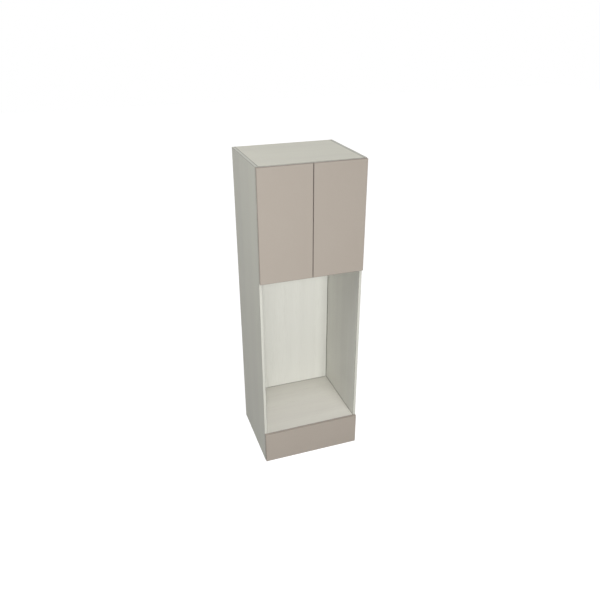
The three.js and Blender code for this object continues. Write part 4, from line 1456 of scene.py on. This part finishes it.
    def cup(self) -> Object:
        """The turned bowl with its screw wings, lugs and slotted cheeks.

        Returns:
            The cup.
        """
        wall, rim, depth, radius = self.cup_wall, self.rim_width, self.cup_depth, self.cup_radius
        inner, outer = radius - wall, radius + rim
        (bend, hull), edge = self.bowl_bends, self.rim_edge
        profile = [(0, depth - wall), *arc((inner - bend, depth - wall - bend), bend, 90, 0, 5)]
        profile += [(inner, edge - rim), (inner + edge, -rim)]
        profile += [(outer - edge, -rim), (outer, edge - rim), (outer, 0)]
        profile += [(radius, 0), *arc((radius - hull, depth - hull), hull, 0, 90, 5), (0, depth)]
        bowl = turned(profile, self.plan(self.cup_u, self.front_gap, 0), (0, -1, 0), 72)
        u, span = self.wing_u, self.wing_span
        wings = oblong((u, span), (u, -span), self.wing_radius, 0, 16)
        sheet = prism(wings, self.front_gap - rim, self.front_gap, self.facing_door, self.wing_ease)
        mouth = ring((self.cup_u, 0), inner + self.bowl_play, 72)
        combine(sheet, prism(mouth, -2 * SPARE, 3 * SPARE, self.facing_door))
        side_u, floor_v = self.cup_u - radius + wall / 2, self.front_gap + depth - wall / 2
        (lug_u, lug_v), reach, end = self.cup_outer, self.cup_pin + self.half_link, self.lug_w[1]
        lug = [(side_u, floor_v), (side_u, lug_v - self.lug_step), (lug_u - self.lug_step, lug_v - reach)]
        lug += [*arc(self.cup_outer, reach, -90, 0, 8), (lug_u + reach, floor_v)]
        lugs = self.both_sides(lug, self.lug_w)
        pin_end = end + self.cup_pin_past
        pin = self.pin(self.cup_pin, self.cup_outer, -pin_end, pin_end)
        return fused([bowl, sheet, *lugs, pin, *self.cheeks(floor_v)])

    def cheeks(self, floor_v: float) -> list[Object]:
        """The cheeks with the slots that the inner link's stub pins run in.

        Args:
            floor_v: the depth of the cup's floor.

        Returns:
            Both cheeks.
        """
        start, end = moved(self.cup_inner, self.slot_shifts)
        shoulder, wall = end[1] - self.slot_radius, self.sheet
        near = self.cup_u - self.cup_radius + self.cheek_inset
        far = self.cup_inner[0] + self.slot_radius + wall
        outline = [(near, floor_v), (near, shoulder), (near + wall, shoulder - wall)]
        outline += [(far - wall, shoulder - wall), (far, shoulder), (far, floor_v)]
        slot = oblong(start, end, self.slot_radius, 0, 14)
        low, high = self.cheek_w[0] - SPARE, self.cheek_w[1] + SPARE
        made = self.both_sides(outline, self.cheek_w)
        for cheek, span in zip(made, ((low, high), (-high, -low)), strict=True):
            combine(cheek, prism(slot, *span, self.plan))
        return made

    def outer_link(self) -> Object:
        """The wide bent plate with an eye at each end.

        Returns:
            The link.
        """
        from_cup, from_arm = self.outer_bends
        route = [self.cup_outer, *moved(self.cup_outer, from_cup), *moved(self.arm_outer, from_arm), self.arm_outer]
        w, eyes = self.link_w, ((self.arm_outer, self.arm_pin), (self.cup_outer, self.cup_pin))
        parts = [prism(strip(route, self.half_link), -w, w, self.plan, self.ease)]
        for centre, pin in eyes:
            radius = pin + self.pin_play + self.half_link
            parts.append(prism(ring(centre, radius), -w, w, self.plan, self.ease))
        link = fused(parts)
        for centre, pin in eyes:
            eye = ring(centre, pin + self.pin_play, PIN_SIDES)
            combine(link, prism(eye, -w - SPARE, w + SPARE, self.plan))
        return link

    def inner_link(self) -> Object:
        """Two bent side plates on a common pin, with a stub pin each at the cup end.

        Returns:
            The link.
        """
        from_cup, from_arm = self.inner_bends
        route = [self.cup_inner, *moved(self.cup_inner, from_cup), *moved(self.arm_inner, from_arm), self.arm_inner]
        near, end = self.plate_w[0] + self.stub_back, self.cheek_w[1]
        arm_disc = ring(self.arm_inner, self.arm_pin + self.half_link)
        cup_disc = ring(self.cup_inner, self.cup_pin + self.half_link)
        parts = []
        for outline in (strip(route, self.half_link), arm_disc, cup_disc):
            parts += self.both_sides(outline, self.plate_w)
        parts.append(self.pin(self.arm_pin, self.arm_inner, -end, end))
        for low, high in ((near, end), (-end, -near)):
            parts.append(self.pin(self.cup_pin, self.cup_inner, low, high))
        return fused(parts)

    def screws(self) -> dict[str, Object]:
        """The screws of the plate, the cup and the arm.

        Returns:
            The screws, as one piece for each part that they hold.
        """
        put, off_panel = Screws().put, (1, 0, 0)
        span, wing, cup_v = self.plate_span, self.wing_span, self.front_gap - self.rim_width
        plate = [self.plan(self.plate_thickness, self.plate_v, w) for w in (-span, span)]
        cup = [self.plan(self.wing_u, cup_v, w) for w in (-wing, wing)]
        fixing, guide = ([self.plan(self.arm_top, v, 0)] for v in (self.tail_v, self.guide_v))
        arm = [put(*self.fixing_screw, fixing, off_panel), put(*self.guide_screw, guide, off_panel)]
        return {
            "plate_screws": put(*self.plate_screw, plate, off_panel),
            "cup_screws": put(*self.cup_screw, cup, (0, 1, 0)),
            "arm_screws": joined(arm),
        }

    def body(self, part: str, side: Side) -> str:
        """The body that a part of the hinges on one side moves with.

        Args:
            part: the part's name.
            side: the door's side.

        Returns:
            The body's name.
        """
        if part in ("outer_link", "inner_link"):
            return f"{side.word}_{part}s"
        return f"{side.word}_door_leaf" if part.startswith("cup") else "carcass"

    def build(self) -> None:
        """Makes the pattern of each part, and puts its copies on both doors."""
        makers = {"plate": self.mounting_plate, "arm": self.arm, "cup": self.cup}
        makers |= {"outer_link": self.outer_link, "inner_link": self.inner_link}
        patterns = {part: (dressed(make(), NICKEL), "nickel_steel") for part, make in makers.items()}
        patterns |= {part: (made, "zinc_steel") for part, made in self.screws().items()}
        rise = self.middles["upper"] - self.middles["lower"]
        for side in Side:
            for level, shift in (("lower", 0.0), ("upper", rise)):
                for part, (pattern, slot) in patterns.items():
                    copy = copied(pattern, (0, 0, shift), side is Side.RIGHT)
                    node = f"{side.word}_{level}_hinge_{part}"
                    stand_in(copy, node, "steel", self.body(part, side), slot)
        discard(pattern for pattern, _ in patterns.values())


# ---------------------------------------------------------------- ball runners


@dataclass(frozen=True)
class Channel:
    """The section of a bent channel, from the side panel's inner face. Lengths are millimetres."""

    web: float
    tip: float
    half_height: float
    wall: float

    def outline(self) -> list[Flat]:
        """The section's corners, its bends in fine steps.

        Returns:
            The outline's corners in order.
        """
        outward = 1 if self.tip > self.web else -1
        radius = 2 * self.wall
        corner = (self.web + outward * radius, self.half_height - radius)
        start = 180 if outward > 0 else 0
        upper = [
            *arc(corner, radius, start, 90, 8),
            (self.tip, self.half_height),
            (self.tip, self.half_height - self.wall),
            *reversed(arc(corner, radius - self.wall, start, 90, 8)),
        ]
        return upper + [(s, -z) for s, z in reversed(upper)]


@dataclass
class Runners:
    """The pair of ball runners under the drawer. Lengths are millimetres."""

    members: tuple[tuple[str, str, Channel], ...] = (
        ("cabinet_member", "carcass", Channel(0.0, 10.0, 22.5, 1.25)),
        ("middle_member", "runner_middles", Channel(2.6, 10.3, 17.75, 1.25)),
        ("drawer_member", "drawer", Channel(12.75, 5.2, 13.0, 1.25)),
    )
    cages: tuple[tuple[str, str, Channel, float], ...] = (  # the number is the height of its balls
        ("outer_cage", "outer_cages", Channel(1.55, 9.7, 19.875, 0.75), 19.5),
        ("inner_cage", "inner_cages", Channel(4.15, 10.0, 15.125, 0.75), 14.75),
    )
    ball_radius: float = 1.45
    ball_pitch: float = 15.0
    balls_each_way: int = 6
    hole_radius: float = 2.25
    hole_places: tuple[float, ...] = (-192.0, 0.0, 192.0)  # from the runner's middle
    opening_places: tuple[float, ...] = (-96.0, 96.0)
    opening_half: float = 4.0  # half the distance between an opening's round ends
    middle_opening_half: float = 14.0
    cage_opening_places: tuple[float, ...] = (-66.0, -22.0, 22.0, 66.0)
    cage_opening_half: float = 9.0
    cabinet_screw: Flat = (2.1, 1.15)  # each screw head's radius and height
    drawer_screw: Flat = (3.6, 1.6)
    drawer_screw_s: float = 11.5

    def __post_init__(self) -> None:
        """Reads where the left runner stands from the frame."""
        low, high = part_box("left_runner_cabinet_member")
        self.ends = (low.y / MM, high.y / MM)
        self.middle_y = sum(self.ends) / 2
        self.inner_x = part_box("left_side_panel")[1].x
        self.middle_z = (low.z + high.z) / 2

    def section(self, s: float, z: float, y: float) -> Point:
        """A place in the runner's section, as one in the frame."""
        return (self.inner_x + s * MM, y * MM, self.middle_z + z * MM)

    def on_web(self, y: float, z: float, s: float) -> Point:
        """A place on a runner's web, as one in the frame."""
        return self.section(s, z, y)

    def open_web(self, bar: Object, channel: Channel, places: Iterable[float], half: float) -> None:
        """Cuts round or oblong openings through a web.

        Args:
            bar: the solid to cut.
            channel: its section.
            places: where the openings' middles are, from the runner's middle.
            half: half the distance between their round ends, or zero for round holes.
        """
        radius = self.hole_radius
        low, high = sorted((channel.web - 2 * channel.wall, channel.web + 2 * channel.wall))
        for place in places:
            y = self.middle_y + place
            outline = oblong((y + half, 0), (y - half, 0), radius, -90, 10) if half else ring((y, 0), radius, PIN_SIDES)
            combine(bar, prism(outline, low, high, self.on_web))

    def member(self, name: str, channel: Channel) -> Object:
        """A runner member with its screw holes and openings.

        Args:
            name: the member's name.
            channel: its section.

        Returns:
            The member.
        """
        bar = prism(channel.outline(), *self.ends, self.section)
        if name == "middle_member":
            self.open_web(bar, channel, self.opening_places, self.middle_opening_half)
        else:
            self.open_web(bar, channel, self.hole_places, 0.0)
            self.open_web(bar, channel, self.opening_places, self.opening_half)
        return dressed(bar, ZINC)

    def balls(self, channel: Channel, height: float) -> Object:
        """The rows of balls that a cage holds.

        Args:
            channel: the cage's section.
            height: how far above and below the middle the rows run.

        Returns:
            The balls as one piece.
        """
        s = (channel.web + channel.tip + channel.wall) / 2
        deselect_all()
        bpy.ops.mesh.primitive_uv_sphere_add(segments=12, ring_count=6, radius=self.ball_radius * MM)
        pattern = settle(bpy.context.active_object)
        made = []
        for i in range(-self.balls_each_way, self.balls_each_way + 1):
            for z in (-height, height):
                made.append(copied(pattern, self.section(s, z, self.middle_y + i * self.ball_pitch)))
        discard([pattern])
        return dressed(joined(made), NICKEL)

    def cage(self, channel: Channel) -> Object:
        """A ball cage: a short thin channel with oblong openings.

        Args:
            channel: the cage's section.

        Returns:
            The cage.
        """
        low, high = (corner.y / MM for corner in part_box("left_runner_outer_cage"))
        body = prism(channel.outline(), low, high, self.section)
        self.open_web(body, channel, self.cage_opening_places, self.cage_opening_half)
        return dressed(body, NICKEL)

    def build(self) -> None:
        """Makes the left runner's parts, and copies each to the right."""
        parts = [(name, body, "zinc_steel", self.member(name, channel)) for name, body, channel in self.members]
        for name, body, channel, height in self.cages:
            parts.append((name, body, "nickel_steel", self.cage(channel)))
            parts.append((f"{name}_balls", body, "nickel_steel", self.balls(channel, height)))
        for name, body, screw, s, facing in (
            ("cabinet_screws", "carcass", self.cabinet_screw, 0.0, (1, 0, 0)),
            ("drawer_screws", "drawer", self.drawer_screw, self.drawer_screw_s, (-1, 0, 0)),
        ):
            places = [self.section(s, 0, self.middle_y + place) for place in self.hole_places]
            parts.append((name, body, "zinc_steel", Screws().put(*screw, places, facing)))
        for side in Side:
            for name, body, slot, pattern in parts:
                copy = copied(pattern, mirror=side is Side.RIGHT)
                stand_in(copy, f"{side.word}_runner_{name}", "steel", body, slot)
        discard(pattern for *_, pattern in parts)


# ---------------------------------------------------------------- push latches


@dataclass
class Latches:
    """The three push latches. Lengths are millimetres."""

    length: float = 76.0
    width: float = 20.0
    height: float = 14.0
    chamfer: float = 4.0
    bore_radius: float = 4.5
    bore_depth: float = 73.0
    ear_y: float = 64.0
    ear_x: float = 14.0
    ear_radius: float = 5.0
    ear_thickness: float = 3.0
    ear_screw: Flat = (3.2, 1.4)  # a screw head's radius and height
    rib_places: tuple[float, ...] = (10.0, 14.0, 18.0, 22.0)
    rib_half: float = 0.6
    rib_depth: float = 0.5
    plunger_length: float = 64.0
    shaft_play: float = 0.6
    collar_play: float = 0.3
    tip_length: float = 4.0
    recess: Flat = (3.1, 0.6)  # the magnet's seat: radius and depth
    neck_place: float = 24.0
    neck_length: float = 2.0
    rear_collar: float = 5.0
    edge: float = 0.5
    ease: float = 0.6
    ear_ease: float = 0.4
    magnet: tuple[Flat, ...] =((0, 0.1), (2.6, 0.1), (2.8, 0.3), (2.8, 0.7), (0, 0.7))

    def __post_init__(self) -> None:
        """Reads where the drawer's latch stands from the frame."""
        low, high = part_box("drawer_latch_housing")
        self.origin = Vector(((low.x + high.x) / 2, low.y, low.z))
        self.tip_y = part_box("drawer_latch_plunger")[0].y

    def section(self, x: float, z: float, y: float) -> Point:
        """A place in the latch's section, as one in the frame."""
        return tuple(self.origin + Vector((x, y, z)) * MM)

    def level(self, x: float, y: float, z: float) -> Point:
        """A place on the board under the latch, as one in the frame."""
        return self.section(x, z, y)

    def housing(self) -> Object:
        """The housing: a chamfered block with grip ribs, ears and a deep bore.

        Returns:
            The housing.
        """
        half, top, cut = self.width / 2, self.height, self.chamfer
        outline = [(-half, 0), (half, 0), (half, top - cut), (half - cut, top), (cut - half, top), (-half, top - cut)]
        parts = [prism(outline, 0, self.length, self.section, self.ease)]
        for x in (-self.ear_x, self.ear_x):
            ear = ring((x, self.ear_y), self.ear_radius, 36)
            parts.append(prism(ear, 0, self.ear_thickness, self.level, self.ear_ease))
        body = fused(parts)
        bore = ring((0, top / 2), self.bore_radius, 40)
        combine(body, prism(bore, -SPARE, self.bore_depth, self.section))
        reach, rib = half + SPARE, self.rib_half
        for y in self.rib_places:
            groove = [(-reach, y - rib), (reach, y - rib), (reach, y + rib), (-reach, y + rib)]
            combine(body, prism(groove, top - self.rib_depth, top + SPARE, self.level))
        return body

    def plunger(self) -> tuple[Object, Object]:
        """The plunger with its rear collar, and the magnet set in its tip.

        Returns:
            The plunger and the magnet.
        """
        shaft, collar = self.bore_radius - self.shaft_play, self.bore_radius - self.collar_play
        length, tip, edge, neck = self.plunger_length, self.tip_length, self.edge, self.neck_place
        rear, neck_end = length - self.rear_collar, neck + self.neck_length
        profile = [(0, self.recess[1]), self.recess, (self.recess[0], 0)]
        profile += [*arc((collar - edge, edge), edge, -90, 0, 4), (collar, tip - edge), (shaft, tip), (shaft, neck)]
        profile += [(shaft - edge, neck + edge), (shaft - edge, neck_end), (shaft, neck_end + edge), (shaft, rear)]
        profile += [(collar, rear + edge), (collar, length - edge), (collar - edge, length), (0, length)]
        start = (self.origin.x, self.tip_y, self.origin.z + self.height / 2 * MM)
        body = turned(profile, start, (0, 1, 0))
        return body, turned(list(self.magnet), start, (0, 1, 0), 40)

    def turned_over(self, piece: Object, node: str) -> Object:
        """A copy that hangs under the top panel at a door latch's place.

        Args:
            piece: a part of the drawer's latch.
            node: the door latch's housing.

        Returns:
            The copy.
        """
        low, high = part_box(node)
        twin = copied(piece)
        there = Matrix.Translation(((low.x + high.x) / 2, 0, high.z))
        back = Matrix.Translation(-Vector((self.origin.x, 0, self.origin.z)))
        twin.matrix_world = there @ Matrix.Rotation(math.pi, 4, "Y") @ back
        return settle(twin)

    def build(self) -> None:
        """Makes the drawer's latch, and hangs two copies over the doors."""
        plunger, magnet = self.plunger()
        ears = [self.level(x, self.ear_y, self.ear_thickness) for x in (-self.ear_x, self.ear_x)]
        parts = (
            ("housing", dressed(self.housing(), GREY_PLASTIC), "grey_plastic"),
            ("plunger", dressed(plunger, GREY_PLASTIC), "grey_plastic"),
            ("magnet", dressed(magnet, ZINC), "zinc_steel"),
            ("screws", Screws().put(*self.ear_screw, ears, (0, 0, 1)), "zinc_steel"),
        )
        for owner in ("drawer", "left_door", "right_door"):
            for part, pattern, slot in parts:
                at_drawer = owner == "drawer"
                copy = copied(pattern) if at_drawer else self.turned_over(pattern, f"{owner}_latch_housing")
                body = f"{owner}_plunger" if part in ("plunger", "magnet") else "carcass"
                stand_in(copy, f"{owner}_latch_{part}", "moulding", body, slot)
        discard(pattern for _, pattern, _ in parts)


# ---------------------------------------------------------------- drawer box


@dataclass
class DrawerBox:
    """The drawer's box behind its front. Lengths are millimetres."""

    groove_depth: float = 8.0
    bottom_reach: float = 7.0  # of the bottom into its groove
    groove_play: float = 0.25

    def groove(self, through: Grain) -> Object:
        """The tool for the bottom's groove in the walls that run along one axis.

        Args:
            through: the axis along which the groove runs out of the walls' ends.

        Returns:
            The tool.
        """
        low, high = (Vector(corner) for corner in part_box("drawer_bottom"))
        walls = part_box("drawer_left_side")[0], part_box("drawer_right_side")[1]
        deeper = (self.groove_depth - self.bottom_reach) * MM
        for axis in (Grain.ACROSS, Grain.DEPTH):
            i, past = axis.value, SPARE * MM
            low[i] = walls[0][i] - past if axis is through else low[i] - deeper
            high[i] = walls[1][i] + past if axis is through else high[i] + deeper
        low.z -= self.groove_play * MM
        high.z += self.groove_play * MM
        return block(low, high)

    def build(self) -> None:
        """Builds the four walls and the bottom."""
        for node, faced, grain in (
            ("drawer_left_side", ACROSS_SIDES, Grain.DEPTH),
            ("drawer_right_side", ACROSS_SIDES, Grain.DEPTH),
            ("drawer_inner_front", DEPTH_SIDES, Grain.ACROSS),
            ("drawer_back", DEPTH_SIDES, Grain.ACROSS),
        ):
            wall = Board(node, "drawer", "melamine", carcass_board(grain), faced, LEVEL_SIDES, inner=faced)
            wall.build([self.groove(grain)])
        build_thin_board("drawer_bottom", "drawer", Facing.UP)


# ---------------------------------------------------------------- small fixings


@dataclass
class Fixings:
    """Caps over the cam fittings, door buffers, strike plates and front screws, in millimetres."""

    cap: Flat = (8.5, 0.8)  # radius and height, as in the lines below
    door_buffer: Flat = (4.0, 1.2)
    strike_plate: Flat = (8.0, 0.22)
    front_screw: Flat = (4.5, 2.2)
    cap_inset: float = 34.0
    cap_rows: Flat = (45.0, 60.0)  # from the board's front and from the back panel
    buffer_inset: float = 27.0
    front_screw_x: float = 190.0
    front_screw_rows: Flat = (35.0, 85.0)

    def discs(self, radius: float, height: float, places: Iterable[Point], facing: Point) -> Object:
        """Low domed discs of one size as one piece.

        Args:
            radius: the discs' radius.
            height: how far they stand up.
            places: the middle of each disc's seat.
            facing: the way that they look.

        Returns:
            The piece.
        """
        profile = [(0, 0), (radius, 0), (radius, 0.4 * height), (0.93 * radius, 0.8 * height)]
        profile += [(0.8 * radius, height), (0.45 * radius, height), (0.4 * radius, 0.85 * height)]
        profile += [(0, 0.85 * height)]
        return joined([turned(profile, place, facing, 40) for place in places])

    def cam_caps(self, node: str, facing: Facing) -> None:
        """Caps on one face of a fixed board, near its ends.

        Args:
            node: the board's node.
            facing: the face that the caps are on.
        """
        low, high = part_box(node)
        front, rear = low.y + self.cap_rows[0] * MM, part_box("back_panel")[0].y - self.cap_rows[1] * MM
        reach = high.x - self.cap_inset * MM
        places = [(x, y, facing.plane(low, high)) for x in (-reach, reach) for y in (front, rear)]
        caps = dressed(self.discs(*self.cap, places, facing.value), CAP_PLASTIC)
        ride(caps, f"{node}_cam_caps", "carcass", "grey_plastic")

    def door_buffers(self, side: Side) -> None:
        """Buffers at a door's free corners.

        Args:
            side: the door's side.
        """
        low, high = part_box(f"{side.word}_door")
        free = high.x if side is Side.LEFT else low.x
        x = free + side.value * self.buffer_inset * MM
        places = [(x, high.y, middle_of(node).z) for node in ("cupboard_floor", "top_panel")]
        buffers = dressed(self.discs(*self.door_buffer, places, (0, 1, 0)), CAP_PLASTIC)
        ride(buffers, f"{side.word}_door_buffers", f"{side.word}_door_leaf", "grey_plastic")

    def strike(self, owner: str, front: str, body: str) -> None:
        """The plate on a front's inner face that its latch holds.

        Args:
            owner: the word that the latch's nodes start with.
            front: the front's node.
            body: the body it moves with.
        """
        tip = middle_of(f"{owner}_latch_plunger")
        target = (tip.x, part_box(front)[1].y, tip.z)
        plate = dressed(self.discs(*self.strike_plate, [target], (0, 1, 0)), ZINC)
        ride(plate, f"{owner}_strike", body, "zinc_steel")

    def build(self) -> None:
        """Builds every small fixing."""
        self.cam_caps("base_panel", Facing.UP)
        for node in ("oven_shelf", "cupboard_floor", "top_panel"):
            self.cam_caps(node, Facing.DOWN)
        for side in Side:
            self.door_buffers(side)
            self.strike(f"{side.word}_door", f"{side.word}_door", f"{side.word}_door_leaf")
        low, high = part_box("drawer_inner_front")
        x, rows = self.front_screw_x * MM, self.front_screw_rows
        places = [(sign * x, high.y, low.z + rise * MM) for sign in (-1, 1) for rise in rows]
        screws = Screws().put(*self.front_screw, places, (0, 1, 0))
        ride(screws, "drawer_front_screws", "drawer", "zinc_steel")
        self.strike("drawer", "drawer_front", "drawer")


# ---------------------------------------------------------------- studio


@dataclass(frozen=True)
class DiskLamp:
    """A round soft lamp that looks at the unit's middle."""

    name: str
    place: Point
    size: float
    power: float  # watts
    aim: Point = (0.0, 0.0, 1.0)

    def build(self) -> None:
        """Hangs the lamp."""
        data = bpy.data.lights.new(self.name, "AREA")
        data.shape, data.size, data.energy = "DISK", self.size, self.power
        hang(data, self.place, Vector(self.aim) - Vector(self.place))


@dataclass(frozen=True)
class FarLamp:
    """A distant soft lamp, told by the side that it shines from."""

    name: str
    azimuth: float  # degrees from the front towards the left
    elevation: float
    strength: float
    spread: float = 0.30  # radians

    def build(self) -> None:
        """Hangs the lamp."""
        data = bpy.data.lights.new(self.name, "SUN")
        data.energy, data.angle = self.strength, self.spread
        turn, rise = math.radians(self.azimuth), math.radians(self.elevation)
        level = math.cos(rise)
        source = Vector((-math.sin(turn) * level, -math.cos(turn) * level, math.sin(rise)))
        hang(data, tuple(source * 5), -source)


def hang(data: bpy.types.Light, place: Point, ahead: Vector) -> None:
    """Puts a lamp in the scene.

    Args:
        data: the lamp's light.
        place: where it hangs.
        ahead: the way that it shines.
    """
    lamp = bpy.data.objects.new(data.name, data)
    lamp.location = place
    lamp.rotation_mode = "QUATERNION"
    lamp.rotation_quaternion = ahead.to_track_quat("-Z", "Y")
    bpy.context.scene.collection.objects.link(lamp)


@dataclass
class Studio:
    """The floor, the light and the camera."""

    camera_place: Point = (-1.0209, -2.9978, 2.5322)
    yaw: float = 0.3316  # radians from +Y towards +X
    pitch: float = -0.4618
    roll: float = -0.0037
    focal_pixels: float = 588.8
    sensor: float = 36.0
    clip: Flat = (0.05, 100.0)
    floor_side: float = 30.0
    floor_drop: float = 0.5 * MM
    floor_shade: float = 0.3
    floor_glow: float = 0.88
    ambient: float = 0.175
    lamps: tuple[DiskLamp | FarLamp, ...] = (
        DiskLamp("camera_light", (-1.02, -3.0, 2.53), 0.3, 26.2),
        DiskLamp("low_front_light", (-1.0, -3.2, 1.0), 1.6, 24.9),
        DiskLamp("side_light", (-2.0, -0.4, 2.4), 0.8, 10.6),
        FarLamp("front_light", 0.0, 4.0, 1.34),
        FarLamp("high_front_light", 0.0, 68.0, 1.015),
        FarLamp("top_light", 0.0, 88.0, 0.2),
        FarLamp("rear_light", 165.0, 12.0, 0.50),
        FarLamp("right_rear_light", -125.0, 3.0, 1.8),
    )

    def camera(self) -> None:
        """The camera at the picture's viewpoint."""
        data = bpy.data.cameras.new("camera")
        data.sensor_width = self.sensor
        data.lens = self.sensor * self.focal_pixels / PICTURE_SIDE
        data.clip_start, data.clip_end = self.clip
        seen = bpy.data.objects.new("camera", data)
        sine, cosine, flat = math.sin(self.yaw), math.cos(self.yaw), math.cos(self.pitch)
        ahead = Vector((sine * flat, cosine * flat, math.sin(self.pitch)))
        level = Vector((cosine, -sine, 0.0))
        upright = level.cross(ahead)
        across = level * math.cos(self.roll) + upright * math.sin(self.roll)
        up = upright * math.cos(self.roll) - level * math.sin(self.roll)
        turn = Matrix((across, up, -ahead)).transposed()
        seen.matrix_world = Matrix.Translation(self.camera_place) @ turn.to_4x4()
        bpy.context.scene.collection.objects.link(seen)
        bpy.context.scene.camera = seen

    def floor(self) -> None:
        """A plain pale floor that looks white and still shows a soft shadow."""
        deselect_all()
        bpy.ops.mesh.primitive_plane_add(size=self.floor_side, location=(0.0, 0.0, -self.floor_drop))
        piece = settle(bpy.context.active_object)
        piece.name = piece.data.name = "studio_floor"
        paint = bpy.data.materials.new("studio_floor")
        graph = Graph.of(paint)
        shade = (*(self.floor_shade,) * 3, 1.0)
        plain = graph.add("ShaderNodeBsdfDiffuse", {"Color": shade}).outputs[0]
        glow = graph.add("ShaderNodeEmission", {"Color": WHITE, "Strength": self.floor_glow}).outputs[0]
        lit = graph.add("ShaderNodeAddShader", {0: plain, 1: glow}).outputs[0]
        end = graph.add("ShaderNodeMixShader", {"Fac": graph.seen_straight(), 1: plain, 2: lit})
        graph.add("ShaderNodeOutputMaterial", {"Surface": end.outputs[0]})
        piece.data.materials.append(paint)

    def world(self) -> None:
        """White where it is seen, and plain soft light where it isn't."""
        world = bpy.data.worlds.new("studio")
        graph = Graph.of(world)
        strength = graph.maths("MULTIPLY_ADD", graph.seen_straight(), 1.0 - self.ambient, self.ambient)
        light = graph.add("ShaderNodeBackground", {"Color": WHITE, "Strength": strength})
        graph.add("ShaderNodeOutputWorld", {"Surface": light.outputs[0]})
        bpy.context.scene.world = world

    def build(self) -> None:
        """Sets up the whole studio."""
        bpy.context.scene.view_settings.view_transform = "Standard"
        self.camera()
        self.floor()
        self.world()
        for lamp in self.lamps:
            lamp.build()


# ---------------------------------------------------------------- whole scene


def main() -> None:
    """Builds the studio and the unit's sub-assemblies in order."""
    logging.basicConfig(level=logging.INFO, format="%(name)s: %(message)s")
    Studio().build()
    for assembly in (Carcass(), ShelfPins(), Fronts(), Hinges(), DrawerBox(), Runners(), Latches(), Fixings()):
        log.info("%s", type(assembly).__name__)
        assembly.build()


if __name__ == "__main__":
    main()
